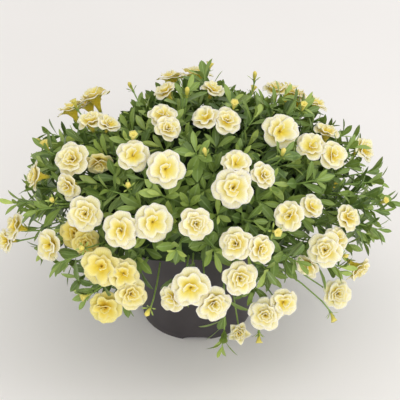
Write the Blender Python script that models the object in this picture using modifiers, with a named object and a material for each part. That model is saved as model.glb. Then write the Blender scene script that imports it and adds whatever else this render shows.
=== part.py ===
"""A double-flowered calibrachoa in its nursery pot.

One pot, the soil in it, thirteen leafy stems and the double blooms that they carry. Metres, +Z up.
The origin is on the pot's axis, on the surface that the pot stands on. The front faces -Y.
"""

import itertools
import math
import random

import bmesh
import bpy
from mathutils import Matrix, Vector
from mathutils.bvhtree import BVHTree

MM = 0.001

# The pot: a 13 cm nursery pot with a straight tapered wall and a banded rim
POT_HEIGHT = 110 * MM
POT_BASE_RADIUS = 51 * MM
POT_RIM_RADIUS = 65 * MM
POT_WALL = 1.5 * MM
POT_RIM_BAND = 9 * MM
POT_RIM_STEP = 1.6 * MM
POT_FLOOR = 6 * MM
POT_FOOT_HEIGHT = 4.5 * MM
POT_FOOT_WIDTH = 5 * MM
POT_NOTCH_WIDTH = 24 * MM
POT_NOTCH_HEIGHT = 4 * MM
POT_NOTCHES = 4
DRAIN_RADIUS = 4 * MM
DRAIN_CIRCLE = 28 * MM
ROUND_STEPS = 32
GAP = 0.3 * MM

# The soil: filled to 10 mm under the rim, a little higher in the middle
SOIL_TOP = 100 * MM
SOIL_MOUND = 3 * MM

# The plant: its flowers lie on a broad dome that droops over the pot on all sides
DOME_CENTRE = Vector((0, 0, 121 * MM))
DOME_HALF_WIDTH = 172 * MM
DOME_HALF_DEPTH = 146 * MM
DOME_HALF_HEIGHT = 108 * MM

# The view in which the blooms were placed: a lens 33.5 degrees above the horizon
VIEW_RISE = math.radians(33.5)
VIEW_AIM = Vector((3 * MM, 0, 121 * MM))
VIEW_DISTANCE = 1.2
PICTURE_MIDDLE = 200
PICTURE_PIXEL = 0.9 * MM
VIEW_RIGHT = Vector((1, 0, 0))
VIEW_UP = Vector((0, math.sin(VIEW_RISE), math.cos(VIEW_RISE)))
VIEW_BACK = Vector((0, -math.cos(VIEW_RISE), math.sin(VIEW_RISE)))

# One bloom: a golden funnel, five broad outer lobes, and a raised inner corolla
BLOOM_WIDTH = 34 * MM
BLOOM_TUBE = 17 * MM
LOBES = 5
LOBE_NOTCH = 0.89
LOBE_SWAY = 0.05
LOBE_LIFT = 0.9 * MM
LOBE_CURL = (-0.6 * MM, 0.4 * MM)
FUNNEL_FOOT = 1.5 * MM
FUNNEL_WAIST = 3.0 * MM
INNER_FOOT = 0.42
INNER_FOOT_HEIGHT = 0.8 * MM
INNER_REACH = (0.46, 0.60)
INNER_RISE = (3.4 * MM, 4.6 * MM)
INNER_TURN = 0.35
THROAT = 0.22
THROAT_HEIGHT = 1.2 * MM
BLOOM_SET_IN = 0.97
BACK_BLOOM_LIFT = 0.3

# Leafy stems: bearing from the front and latitude of the middle of each one's share of the dome,
# in degrees, and how far from the pot's axis it stands in the soil
STEMS = [
    (20, 60, 10 * MM),
    (140, 60, 10 * MM),
    (260, 60, 10 * MM),
    (0, 24, 27 * MM),
    (72, 24, 27 * MM),
    (144, 24, 27 * MM),
    (216, 24, 27 * MM),
    (288, 24, 27 * MM),
    (36, -8, 42 * MM),
    (108, -8, 42 * MM),
    (180, -8, 42 * MM),
    (252, -8, 42 * MM),
    (324, -8, 42 * MM),
]
STEM_SIDES = 5
STEM_FOOT = 1.9 * MM
STEM_SUNK = 14 * MM
STEM_BED = 2 * MM
STEM_BARE = 5 * MM
HOLE_SIDES = 6

# The dense middle of each leafy stem, which its leaves stand out of. It reaches as far out as it can
# without touching a bloom, in steps
CORE_REACH = 0.76
CORE_STEP = 0.02
CORE_STEPS = 8
CORE_SIDES = 8
CORE_SPREAD = 36
CORE_DROOP = 11
CORE_MARGIN = 2.6
CORE_ROOTING = 1.6 * MM
CORE_EDGE = 0.92
CORE_CROWN = (1.08, 0.98)
CORE_TOP = 1.06
CORE_TIP_ABOVE_RIM = 6 * MM

# The stalk and calyx under each bloom
STALK_RADIUS = 0.8 * MM
STALK_SIDES = 3
CUP_WIDTH = 2.9 * MM
CUP_RISE = 1.6 * MM
CUP_DISH = 0.1

# The ways that a stalk or shoot tries in turn until it crosses nothing: how far towards the edge of
# its core it leaves it, how long it runs straight behind its bloom, and how far it swings aside
TRY_SHARES = (0.75, 0.4, 0.95, 0.1)
TRY_LEANS = (14 * MM, 8 * MM, 22 * MM, 4 * MM, 30 * MM)
TRY_SWINGS = (0, 6 * MM, -6 * MM, 12 * MM, -12 * MM, 20 * MM, -20 * MM)

# Leafy shoots between the blooms: one in each wide gap that is left on the dome
GAP_SHOOTS = 14
GAP_SHOOT_REACH = (0.97, 1.04)
GAP_SPOTS = 700
GAP_LOWEST = -0.55
GAP_HIGHEST = 0.98
SHOOT_SIDES = 3
SHOOT_ARCH = 0.93
SHOOT_BARE = 0.42
SHOOT_TOP = 0.97
SHOOT_OPEN = (58, 22)
SHOOT_RADIUS = 1.2 * MM
SHOOT_SEED = 7
SHOOT_LEAVES = 5
TIP_LEAF = 0.75
TURN_OF_LEAVES = math.radians(137.5)
LEAF_LENGTH = (16 * MM, 25 * MM)
LEAF_WIDTH = 0.34
LEAF_RIB = 1.0 * MM
LEAF_NECK = 0.3 * MM
LEAF_ARCH = 0.08
LEAF_WIDEST = 0.62
LEAF_SUNK = 2.5 * MM
LEAF_TRIES = 14
LEAF_BEND = 9
GUARD_SWELL = 1.2

# Leaves that stand out of the cores
CORE_LEAVES = 6
CORE_LEAF_LENGTH = (24 * MM, 32 * MM)
CORE_LEAF_OPEN = 42
CORE_LEAF_SPREAD = 0.85
CORE_LEAF_TURN = 2.0

# Shoots that stand out of the dome: where the tip is seen in the picture, and how far out it lies
OUTER_SHOOTS = [
    (377, 229, 1.04),
    (380, 211, 1.04),
    (376, 196, 1.02),
    (17, 203, 1.03),
    (233, 344, 1.03),
    (204, 76, 1.04),
    (186, 92, 1.02),
    (284, 96, 1.03),
    (301, 106, 1.02),
    (46, 150, 1.02),
    (60, 262, 1.02),
    (88, 296, 1.02),
]

# Shoots that stand out at the back: bearing, latitude and how far out
BACK_SHOOTS = [
    (184, 22, 1.00),
    (200, 10, 0.98),
    (154, 4, 1.00),
    (200, -16, 0.98),
    (158, -22, 1.00),
    (236, 12, 1.00),
]

# Blooms seen from the front, by node: where the middle of each is seen in the 400 by 400 picture
# (across, down), how wide it is there, how far it faces right and up (0 is straight at the
# viewer, 1 is side on), and how far out it lies (1 is on the dome)
FRONT_BLOOMS = {
    "bloom_01": [(72, 159, 35, -0.25, 0.20, 1.00)],
    "bloom_02": [(85, 214, 36, -0.10, 0.00, 1.00)],
    "bloom_03": [(121, 230, 38, -0.10, -0.05, 1.00), (153, 222, 38, 0.10, 0.05, 0.97)],
    "bloom_04": [(196, 224, 33, 0.05, -0.15, 1.00)],
    "bloom_05": [(133, 155, 32, 0.00, 0.20, 1.00)],
    "bloom_06": [(166, 169, 37, 0.10, 0.05, 1.00)],
    "bloom_07": [(233, 188, 39, 0.00, 0.00, 1.00), (236, 163, 30, 0.05, 0.50, 1.03)],
    "bloom_08": [(264, 175, 27, 0.40, 0.20, 1.00)],
    "bloom_09": [(280, 131, 37, 0.10, 0.20, 1.00)],
    "bloom_10": [(205, 117, 28, -0.25, 0.55, 1.00), (227, 120, 30, 0.20, 0.45, 1.00)],
    "bloom_11": [(163, 115, 30, -0.05, 0.60, 1.00), (168, 128, 26, 0.25, 0.30, 0.99)],
    "bloom_12": [(90, 120, 28, -0.20, 0.80, 1.00), (109, 123, 24, 0.30, 0.75, 0.95)],
    "bloom_13": [(99, 164, 28, 0.10, -0.70, 0.85)],
    "bloom_14": [(67, 187, 28, -0.55, -0.25, 0.98)],
    "bloom_15": [(34, 176, 30, -0.95, 0.05, 1.00)],
    "bloom_16": [(14, 226, 32, -0.85, 0.25, 1.00), (5, 241, 26, -0.80, 0.00, 1.00)],
    "bloom_17": [(48, 245, 33, -0.60, -0.10, 1.00)],
    "bloom_18": [(74, 233, 30, -0.20, 0.10, 0.88), (86, 243, 28, 0.25, -0.25, 0.88)],
    "bloom_19": [
        (101, 267, 38, -0.10, -0.10, 1.00),
        (124, 274, 32, 0.25, 0.05, 0.96),
        (131, 294, 32, 0.20, -0.20, 0.98),
    ],
    "bloom_20": [(105, 308, 34, -0.10, -0.25, 1.00)],
    "bloom_21": [
        (191, 288, 38, 0.00, -0.10, 1.00),
        (172, 298, 28, -0.45, -0.20, 0.99),
        (214, 304, 36, 0.25, -0.35, 1.01),
    ],
    "bloom_22": [(240, 278, 34, 0.05, -0.10, 1.00)],
    "bloom_23": [(236, 244, 33, -0.20, 0.00, 1.00), (261, 249, 28, 0.40, -0.10, 1.02)],
    "bloom_24": [(289, 216, 30, -0.30, 0.10, 1.00)],
    "bloom_25": [(349, 217, 28, 0.55, 0.30, 1.00)],
    "bloom_26": [(325, 250, 36, -0.10, 0.00, 1.00), (337, 238, 26, 0.40, 0.30, 0.99)],
    "bloom_27": [(307, 267, 26, -0.55, -0.45, 0.92)],
    "bloom_28": [(359, 270, 30, 0.70, -0.65, 1.00)],
    "bloom_29": [(338, 294, 32, 0.20, 0.00, 1.00)],
    "bloom_30": [(265, 315, 33, -0.10, -0.10, 1.00), (284, 303, 30, 0.35, -0.15, 0.98)],
    "bloom_31": [(239, 333, 25, -0.05, 0.05, 1.00)],
    "bloom_32": [(311, 146, 30, 0.00, 0.40, 1.00), (333, 155, 30, 0.30, 0.20, 1.03)],
    "bloom_33": [(327, 131, 28, 0.20, 0.88, 0.97)],
    "bloom_34": [(365, 149, 29, 0.75, 0.35, 1.00)],
    "bloom_35": [(276, 88, 28, 0.05, 0.85, 1.00)],
    "bloom_36": [(165, 90, 26, -0.50, 0.75, 1.00)],
    "bloom_37": [(213, 88, 24, 0.30, 0.80, 1.00)],
    "bloom_38": [(312, 206, 24, 0.25, 0.30, 0.95)],
}

# Blooms on the far side, by node: bearing from the front and latitude on the dome, in degrees,
# and width
BACK_BLOOMS = {
    "bloom_39": [(180, 46, 33), (191, 41, 30)],
    "bloom_40": [(226, 38, 34), (235, 32, 31), (224, 28, 30)],
    "bloom_41": [(138, 40, 34), (129, 34, 31), (138, 30, 32)],
    "bloom_42": [(170, 10, 34), (177, 3, 31), (167, 1, 30)],
    "bloom_43": [(214, 0, 34), (222, -6, 31), (212, -9, 32)],
    "bloom_44": [(136, -14, 33), (128, -8, 32), (126, -17, 30)],
    "bloom_45": [(180, -28, 33), (188, -34, 30), (192, -26, 32)],
}


def dome_point(bearing, latitude, reach):
    """The point at a bearing from the front and a latitude, at a share of the way out to the dome."""
    b, t = math.radians(bearing), math.radians(latitude)
    return DOME_CENTRE + reach * Vector(
        (
            DOME_HALF_WIDTH * math.sin(b) * math.cos(t),
            -DOME_HALF_DEPTH * math.cos(b) * math.cos(t),
            DOME_HALF_HEIGHT * math.sin(t),
        )
    )


def to_sphere(point):
    """The point as the dome would have it if it were a ball of radius 1."""
    d = point - DOME_CENTRE
    return Vector((d.x / DOME_HALF_WIDTH, d.y / DOME_HALF_DEPTH, d.z / DOME_HALF_HEIGHT))


def from_sphere(point):
    """The place on the dome of a point on the ball of radius 1."""
    return DOME_CENTRE + Vector(
        (point.x * DOME_HALF_WIDTH, point.y * DOME_HALF_DEPTH, point.z * DOME_HALF_HEIGHT)
    )


def dome_normal(point):
    """The direction straight out of the dome below a point."""
    p = to_sphere(point)
    return Vector((p.x / DOME_HALF_WIDTH, p.y / DOME_HALF_DEPTH, p.z / DOME_HALF_HEIGHT)).normalized()


def seen_at(across, down, reach):
    """The near point of the dome, drawn in to a reach, that is seen at a place in the picture."""
    eye = VIEW_AIM + VIEW_DISTANCE * VIEW_BACK
    aim = VIEW_AIM + VIEW_RIGHT * (across - PICTURE_MIDDLE) * PICTURE_PIXEL
    aim += VIEW_UP * (PICTURE_MIDDLE - down) * PICTURE_PIXEL
    start = to_sphere(eye)
    step = to_sphere(aim) - start
    a, b, c = step.dot(step), start.dot(step), start.dot(start) - reach * reach
    root = b * b - a * c
    if root > 0:
        return from_sphere(start + step * ((-b - math.sqrt(root)) / a))
    return from_sphere((start + step * (-b / a)))


def clear_scene():
    """Remove the objects and collections that the file opened with."""
    for old in list(bpy.data.objects):
        bpy.data.objects.remove(old, do_unlink=True)
    for old in list(bpy.data.collections):
        bpy.data.collections.remove(old)


def new_collection(name):
    """A collection linked to the scene."""
    made = bpy.data.collections.new(name)
    bpy.context.scene.collection.children.link(made)
    return made


def new_material(name, colour, roughness):
    """A Principled material with a plain colour."""
    made = bpy.data.materials.new(name)
    made.use_nodes = True
    shader = made.node_tree.nodes["Principled BSDF"]
    shader.inputs["Base Color"].default_value = (*colour, 1)
    shader.inputs["Roughness"].default_value = roughness
    shader.inputs["Metallic"].default_value = 0
    return made


def new_object(name, mesh, collection, material):
    """An object of a mesh, in a collection, with its material."""
    made = bpy.data.objects.new(name, mesh)
    collection.objects.link(made)
    mesh.materials.clear()
    mesh.materials.append(material)
    return made


def close_outward(shape):
    """Turn the faces of a closed shape to point out."""
    bmesh.ops.recalc_face_normals(shape, faces=shape.faces)
    if shape.calc_volume(signed=True) < 0:
        bmesh.ops.reverse_faces(shape, faces=shape.faces)


def loft(name, rings):
    """A closed surface through rings of points: a ring has one point, as many as its neighbour,
    or twice as many. The first and last rings are closed with a face."""
    shape = bmesh.new()
    made = [[shape.verts.new(p) for p in ring] for ring in rings]
    for ring in (made[0], made[-1]):
        if len(ring) > 2:
            shape.faces.new(ring)
    for low, high in zip(made, made[1:]):
        if len(low) > len(high):
            low, high = high, low
        n, m = len(low), len(high)
        for i in range(m if n == 1 else n):
            if n == 1:
                shape.faces.new((low[0], high[i], high[(i + 1) % m]))
            elif n == m:
                shape.faces.new((low[i], high[i], high[(i + 1) % n]))
                shape.faces.new((low[i], high[(i + 1) % n], low[(i + 1) % n]))
            else:
                shape.faces.new((low[i], high[2 * i - 1], high[2 * i]))
                shape.faces.new((low[i], high[2 * i], high[2 * i + 1]))
                shape.faces.new((low[i], high[2 * i + 1], low[(i + 1) % n]))
    close_outward(shape)
    bmesh.ops.triangulate(shape, faces=shape.faces)
    mesh = bpy.data.meshes.new(name)
    shape.to_mesh(mesh)
    shape.free()
    return mesh


def ring_of(count, radius, height, turn=0.0):
    """Points round the Z axis. The radius and the height may be functions of the point's number."""
    points = []
    for i in range(count):
        angle = turn + 2 * math.pi * i / count
        r = radius(i) if callable(radius) else radius
        z = height(i) if callable(height) else height
        points.append(Vector((r * math.cos(angle), r * math.sin(angle), z)))
    return points


def facing(point, axis, spin):
    """The placement that puts a shape's Z axis along an axis at a point."""
    turn = axis.to_track_quat("Z", "Y").to_matrix().to_4x4()
    return Matrix.Translation(point) @ turn @ Matrix.Rotation(spin, 4, "Z")


def curve_point(start, bend, end, share):
    """A point on the arc from a start to an end that leans towards a bend."""
    rest = 1 - share
    return start * rest * rest + bend * 2 * rest * share + end * share * share


def along_path(points, share):
    """The place at a share of the way along straight runs of equal weight."""
    run = min(share, 0.999) * (len(points) - 1)
    i = int(run)
    return points[i].lerp(points[i + 1], run - i)


def tube(name, points, radii, sides, cup=None, end_axis=None):
    """A tapered tube through points, with a ring of points across it at each. A cup is one more
    ring, (width, rise), and a middle point, which flare from its end."""
    rings = []
    for i, point in enumerate(points):
        before, after = points[max(i - 1, 0)], points[min(i + 1, len(points) - 1)]
        ahead = end_axis if end_axis and i == len(points) - 1 else (after - before).normalized()
        frame = facing(point, ahead, 0)
        rings.append([frame @ p for p in ring_of(sides, radii[i], 0)])
    if cup:
        width, rise = cup
        rings.append([frame @ p for p in ring_of(sides, width, rise)])
        rings.append([frame @ Vector((0, 0, rise * CUP_DISH))])
    return loft(name, rings)


# Pot and soil


def turned(name, profile, collection, material):
    """A turned piece: a profile of (radius, height) from the axis, round the outside, to the axis."""
    mesh = bpy.data.meshes.new(name)
    mesh.from_pydata([(r, 0, z) for r, z in profile], [(i, i + 1) for i in range(len(profile) - 1)], [])
    made = new_object(name, mesh, collection, material)
    screw = made.modifiers.new("turn", "SCREW")
    screw.steps = ROUND_STEPS
    screw.render_steps = ROUND_STEPS
    screw.use_merge_vertices = True
    screw.merge_threshold = 0.00005
    return made


def cut(made, cutter):
    """Cut one object from another with a Boolean that stays on it."""
    cutter.hide_render = True
    cutter.display_type = "WIRE"
    hole = made.modifiers.new("cut " + cutter.name, "BOOLEAN")
    hole.operation = "DIFFERENCE"
    hole.object = cutter


def cylinder(name, radius, depth, middle, sides, collection):
    """A plain cylinder, as a cutter."""
    shape = bmesh.new()
    bmesh.ops.create_cone(
        shape, cap_ends=True, segments=sides, radius1=radius, radius2=radius, depth=depth
    )
    mesh = bpy.data.meshes.new(name)
    shape.to_mesh(mesh)
    shape.free()
    made = bpy.data.objects.new(name, mesh)
    made.location = middle
    collection.objects.link(made)
    return made


def pot_radius(height):
    """The pot's outer radius below its band."""
    share = height / POT_HEIGHT
    return POT_BASE_RADIUS + (POT_RIM_RADIUS - POT_RIM_STEP - POT_BASE_RADIUS) * share


def make_pot(collection, cutters, material):
    """The pot: one moulded shell with a banded rim, a foot ring and holes in its floor."""
    band = POT_HEIGHT - POT_RIM_BAND
    foot = POT_BASE_RADIUS - POT_FOOT_WIDTH
    profile = [
        (0, POT_FLOOR),
        (pot_radius(POT_FLOOR) - POT_WALL, POT_FLOOR),
        (pot_radius(band) - POT_WALL, band),
        (POT_RIM_RADIUS - 2 * POT_WALL, POT_HEIGHT),
        (POT_RIM_RADIUS, POT_HEIGHT),
        (POT_RIM_RADIUS, band),
        (pot_radius(band), band - POT_RIM_STEP),
        (POT_BASE_RADIUS, 0),
        (foot, 0),
        (foot, POT_FOOT_HEIGHT),
        (0, POT_FOOT_HEIGHT),
    ]
    pot = turned("pot", profile, collection, material)
    for i in range(POT_NOTCHES):
        angle = 2 * math.pi * i / POT_NOTCHES - math.pi / 2
        bpy.ops.mesh.primitive_cube_add(size=1)
        notch = bpy.context.object
        notch.name = f"notch_{i}"
        for home in list(notch.users_collection):
            home.objects.unlink(notch)
        cutters.objects.link(notch)
        depth = 2 * POT_FOOT_WIDTH
        notch.scale = (depth, POT_NOTCH_WIDTH, 2 * POT_NOTCH_HEIGHT)
        notch.location = (POT_BASE_RADIUS * math.cos(angle), POT_BASE_RADIUS * math.sin(angle), 0)
        notch.rotation_euler.z = angle
        cut(pot, notch)
    for i in range(POT_NOTCHES):
        angle = 2 * math.pi * (i + 0.5) / POT_NOTCHES
        middle = (DRAIN_CIRCLE * math.cos(angle), DRAIN_CIRCLE * math.sin(angle), POT_FLOOR)
        cut(pot, cylinder(f"drain_{i}", DRAIN_RADIUS, 4 * POT_FLOOR, middle, 8, cutters))
    return pot


def make_soil(collection, cutters, material):
    """The soil: a plug inside the pot with a plain hole for each stem."""
    bottom = POT_FLOOR + GAP
    top_radius = pot_radius(SOIL_TOP) - POT_WALL - GAP
    profile = [
        (0, SOIL_TOP + SOIL_MOUND),
        (top_radius / 2, SOIL_TOP + SOIL_MOUND * 0.7),
        (top_radius, SOIL_TOP),
        (pot_radius(bottom) - POT_WALL - GAP, bottom),
        (0, bottom),
    ]
    soil = turned("soil", profile, collection, material)
    hole_radius = (STEM_FOOT + GAP) / math.cos(math.pi / HOLE_SIDES)
    for i, stem in enumerate(STEMS):
        middle = stem_foot(stem, SOIL_TOP)
        name = f"stem_hole_{i + 1}"
        cut(soil, cylinder(name, hole_radius, 2 * STEM_SUNK, middle, HOLE_SIDES, cutters))
    return soil


# Blooms


def bloom_shape(name, width, point, axis, seed):
    """One double bloom: a funnel, five outer lobes and a raised inner corolla, turned a little."""
    dice = random.Random(seed)
    size = width / BLOOM_WIDTH
    outer = width / 2
    length = BLOOM_TUBE * min(size, 1.0)
    sway = [dice.uniform(-LOBE_SWAY, LOBE_SWAY) for _ in range(2 * LOBES)]
    lift = [dice.uniform(-LOBE_LIFT, LOBE_LIFT) for _ in range(2 * LOBES)]
    turn = dice.uniform(0, INNER_TURN)

    def rim(i):
        return outer * ((1, LOBE_NOTCH)[i % 2] + sway[i])

    def rim_height(i):
        return LOBE_CURL[i % 2] + lift[i]

    def crest(i):
        return outer * (INNER_REACH[i % 2] + sway[i])

    def crest_height(i):
        return INNER_RISE[i % 2] * size + lift[i]

    rings = [
        ring_of(LOBES, FUNNEL_FOOT, -length),
        ring_of(LOBES, FUNNEL_WAIST * size, -length / 2),
        ring_of(2 * LOBES, rim, rim_height),
        ring_of(LOBES, outer * INNER_FOOT, INNER_FOOT_HEIGHT),
        ring_of(2 * LOBES, crest, crest_height, turn),
        ring_of(LOBES, outer * THROAT, THROAT_HEIGHT, turn),
    ]
    mesh = loft(name, rings)
    mesh.transform(facing(point, axis, dice.uniform(0, 2 * math.pi)))
    return mesh


def bloom_places():
    """Each node's blooms: where the middle of each lies, the way it faces, and its width."""
    places = {}
    for name, seen in FRONT_BLOOMS.items():
        places[name] = []
        for across, down, wide, right, up, reach in seen:
            point = seen_at(across, down, reach * BLOOM_SET_IN)
            level = math.sqrt(max(1 - right * right - up * up, 0))
            axis = (VIEW_BACK * level + VIEW_RIGHT * right + VIEW_UP * up).normalized()
            places[name].append((point, axis, wide * PICTURE_PIXEL))
    for name, placed in BACK_BLOOMS.items():
        places[name] = []
        for bearing, latitude, wide in placed:
            point = dome_point(bearing, latitude, BLOOM_SET_IN)
            axis = (dome_normal(point) + Vector((0, 0, BACK_BLOOM_LIFT))).normalized()
            places[name].append((point, axis, wide * MM))
    return places


# Leafy stems


def direction(bearing, latitude):
    """The direction on the ball of radius 1 for a bearing from the front and a latitude."""
    return to_sphere(dome_point(bearing, latitude, 1))


STEM_DIRECTIONS = [direction(bearing, latitude) for bearing, latitude, _ in STEMS]


def stem_foot(stem, height):
    """Where a leafy stem stands in the soil."""
    bearing, _, out = stem
    b = math.radians(bearing)
    return Vector((out * math.sin(b), -out * math.cos(b), height))


def core_angle(number, sideways):
    """How far, in radians, a stem's core spreads from its middle towards a sideways direction."""
    middle = STEM_DIRECTIONS[number]
    spread = math.radians(CORE_SPREAD)
    for other in STEM_DIRECTIONS:
        if other is middle or other.dot(sideways) <= 0:
            continue
        half = math.atan2(1 - middle.dot(other), sideways.dot(other))
        spread = min(spread, half - math.radians(CORE_MARGIN))
    if STEMS[number][1] < 0 and sideways.z < 0:
        droop = math.radians(CORE_DROOP) / max(-sideways.z, 0.3)
        spread = min(spread, droop)
    return spread


def core_frame(number):
    """Two directions across a stem's middle."""
    middle = STEM_DIRECTIONS[number]
    east = Vector((0, 0, 1)).cross(middle).normalized()
    return middle, east, middle.cross(east)


def core_place(number, turn, share, reach):
    """A place in a stem's core: round its middle by a turn, a share of the way to its edge."""
    middle, east, north = core_frame(number)
    sideways = east * math.cos(turn) + north * math.sin(turn)
    angle = core_angle(number, sideways) * share
    d = middle * math.cos(angle) + sideways * math.sin(angle)
    return from_sphere(d * reach)


def core_reach_in(number):
    """How far out a stem's core begins."""
    latitude = STEMS[number][1]
    return 0.24 if latitude > 45 else 0.33 if latitude > 0 else 0.50


def core_tip(number):
    """The inner tip of a core, where its stem enters it. On a low stem it clears the pot's rim."""
    tip = from_sphere(STEM_DIRECTIONS[number] * core_reach_in(number))
    tip.z = max(tip.z, POT_HEIGHT + CORE_TIP_ABOVE_RIM)
    return tip


def make_core(name, number, dice, core_reach):
    """A wedge with blunt faces, from near the pot's middle to a reach well inside the dome."""
    turns = [2 * math.pi * i / CORE_SIDES for i in range(CORE_SIDES)]
    edge, crown = [], []
    for i, turn in enumerate(turns):
        reach = core_reach * dice.uniform(CORE_EDGE, 1.0)
        edge.append(core_place(number, turn, 1.0, reach * CORE_EDGE))
        crown.append(core_place(number, turn, 0.55, reach * CORE_CROWN[i % 2]))
    top = from_sphere(STEM_DIRECTIONS[number] * core_reach * CORE_TOP)
    shape = bmesh.new()
    points = [shape.verts.new(p) for p in [core_tip(number), *edge, *crown, top]]
    hull = bmesh.ops.convex_hull(shape, input=points)
    bmesh.ops.delete(shape, geom=hull["geom_interior"], context="VERTS")
    bmesh.ops.recalc_face_normals(shape, faces=shape.faces)
    mesh = bpy.data.meshes.new(name)
    shape.to_mesh(mesh)
    shape.free()
    return mesh


def make_stem(name, number):
    """The woody foot of a leafy stem, from its hole in the soil into its core."""
    stem = STEMS[number]
    low = stem_foot(stem, SOIL_TOP - STEM_SUNK + STEM_BED)
    high = stem_foot(stem, SOIL_TOP + STEM_BARE)
    tip = core_tip(number)
    inside = tip.lerp(from_sphere(STEM_DIRECTIONS[number] * CORE_REACH), 0.35)
    bend = high.lerp(tip, 0.45)
    bend.z = max(bend.z, tip.z - STEM_BED)
    points = [low, high, curve_point(high, bend, tip, 0.5), tip, inside]
    radii = [STEM_FOOT, STEM_FOOT, STEM_FOOT * 0.95, STEM_FOOT * 0.9, STEM_FOOT * 0.8]
    return tube(name, points, radii, STEM_SIDES)


def core_inside(core, outer):
    """The last place inside a core, well under its surface, on the way out from its middle."""
    heart, tree = core
    for step in range(20, -1, -1):
        place = heart.lerp(outer, step / 20)
        near, normal, _, depth = tree.find_nearest(place)
        if (place - near).dot(normal) < 0 and depth > CORE_ROOTING:
            return place
    return heart


def core_start(number, core, point, share=0.75):
    """The place inside a core from which a stalk or shoot towards a point leaves it."""
    middle, east, north = core_frame(number)
    d = to_sphere(point).normalized()
    turn = math.atan2(d.dot(north), d.dot(east))
    angle = math.acos(max(-1, min(1, d.dot(middle))))
    sideways = east * math.cos(turn) + north * math.sin(turn)
    angle = min(angle, core_angle(number, sideways) * share)
    d = middle * math.cos(angle) + sideways * math.sin(angle)
    return core_inside(core, from_sphere(d * CORE_REACH))


def leaf_mesh(name, length, point, along, up, thick=LEAF_RIB, swell=1.0):
    """One arched blade, widest past its middle, with a rib: its root at a point, its tip along."""
    side = along.cross(up).normalized()
    up = side.cross(along).normalized()
    frame = Matrix((side, along, up)).transposed().to_4x4()
    frame.translation = point
    half = length * LEAF_WIDTH / 2 * swell
    rise = length * LEAF_ARCH
    wide = length * LEAF_WIDEST
    shape = bmesh.new()
    root_left = shape.verts.new((-LEAF_NECK, 0, -LEAF_NECK / 2))
    root_right = shape.verts.new((LEAF_NECK, 0, -LEAF_NECK / 2))
    root_top = shape.verts.new((0, 0, LEAF_NECK))
    left = shape.verts.new((-half, wide, rise))
    right = shape.verts.new((half, wide, rise))
    tip = shape.verts.new((0, length, 0))
    rib = shape.verts.new((0, wide * 0.9, rise + thick))
    for corners in (
        (root_left, root_right, root_top),
        (root_left, left, rib),
        (root_left, rib, root_top),
        (root_right, rib, right),
        (root_right, root_top, rib),
        (left, tip, rib),
        (right, rib, tip),
        (root_left, right, root_right),
        (root_left, left, right),
        (left, right, tip),
    ):
        shape.faces.new(corners)
    close_outward(shape)
    mesh = bpy.data.meshes.new(name)
    shape.to_mesh(mesh)
    shape.free()
    mesh.transform(frame)
    return mesh


def tree_of(meshes):
    """A search tree over the faces of several meshes."""
    points, faces = [], []
    for mesh in meshes:
        base = len(points)
        points += [v.co.copy() for v in mesh.vertices]
        faces += [[base + i for i in p.vertices] for p in mesh.polygons]
    return BVHTree.FromPolygons(points, faces)


def heart_of(mesh, tree):
    """The place deepest inside a mesh, among places between its middle and its points."""
    middle = sum((v.co for v in mesh.vertices), Vector()) / len(mesh.vertices)
    best, deepest = middle, -1
    for vert in mesh.vertices:
        for share in (0, 0.2, 0.4, 0.6):
            place = middle.lerp(vert.co, share)
            near, normal, _, depth = tree.find_nearest(place)
            if (place - near).dot(normal) < 0 and depth > deepest:
                best, deepest = place, depth
    return best


def is_clear(mesh, trees):
    """Whether a mesh crosses nothing in the trees."""
    tree = tree_of([mesh])
    return not any(tree.overlap(other) for other in trees)


# Joining


def bodies_of(shape):
    """The groups of points of a shape that hang together, smallest first."""
    left = set(shape.verts)
    groups = []
    while left:
        group, edge = set(), [left.pop()]
        while edge:
            vert = edge.pop()
            group.add(vert)
            for link in vert.link_edges:
                other = link.other_vert(vert)
                if other in left:
                    left.remove(other)
                    edge.append(other)
        groups.append(group)
    return sorted(groups, key=len)


def keep_largest(mesh):
    """Keep the largest body of a mesh: loose scraps go, and sealed hollows are filled. Says
    whether the mesh is closed, and how many bodies went."""
    shape = bmesh.new()
    shape.from_mesh(mesh)
    scraps = bodies_of(shape)[:-1]
    bmesh.ops.delete(shape, geom=[v for group in scraps for v in group], context="VERTS")
    bmesh.ops.triangulate(shape, faces=shape.faces)
    closed = all(len(edge.link_faces) == 2 for edge in shape.edges)
    shape.to_mesh(mesh)
    shape.free()
    return closed, len(scraps)


def span(meshes):
    """The size of the box round some meshes."""
    points = [v.co for mesh in meshes for v in mesh.vertices]
    return Vector([max(p[i] for p in points) - min(p[i] for p in points) for i in range(3)])


def union_of(name, meshes, collection, solver):
    """The Boolean union of a first mesh with a collection of the others, applied."""
    heap = new_collection("heap")
    pieces = [bpy.data.objects.new(f"{name}_{i}", mesh) for i, mesh in enumerate(meshes)]
    for piece in pieces[1:]:
        heap.objects.link(piece)
    collection.objects.link(pieces[0])
    union = pieces[0].modifiers.new("union", "BOOLEAN")
    union.operation = "UNION"
    union.operand_type = "COLLECTION"
    union.collection = heap
    union.solver = solver
    bpy.context.view_layer.update()
    evaluated = pieces[0].evaluated_get(bpy.context.evaluated_depsgraph_get())
    joined = bpy.data.meshes.new_from_object(evaluated)
    for piece in pieces:
        bpy.data.objects.remove(piece, do_unlink=True)
    bpy.data.collections.remove(heap)
    return joined


def fuse(name, meshes, collection, material):
    """One solid from several overlapping ones. The second solver is for where the first fails."""
    if len(meshes) == 1:
        return new_object(name, meshes[0], collection, material)
    for solver in ("EXACT", "MANIFOLD"):
        joined = union_of(name, meshes, collection, solver)
        closed, scraps = keep_largest(joined)
        if closed and not scraps and (span([joined]) - span(meshes)).length < GAP:
            break
    joined.name = name
    made = new_object(name, joined, collection, material)
    print(name, len(meshes), "pieces,", len(joined.polygons), "triangles,", scraps, "scraps")
    return made


# The whole plant


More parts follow.
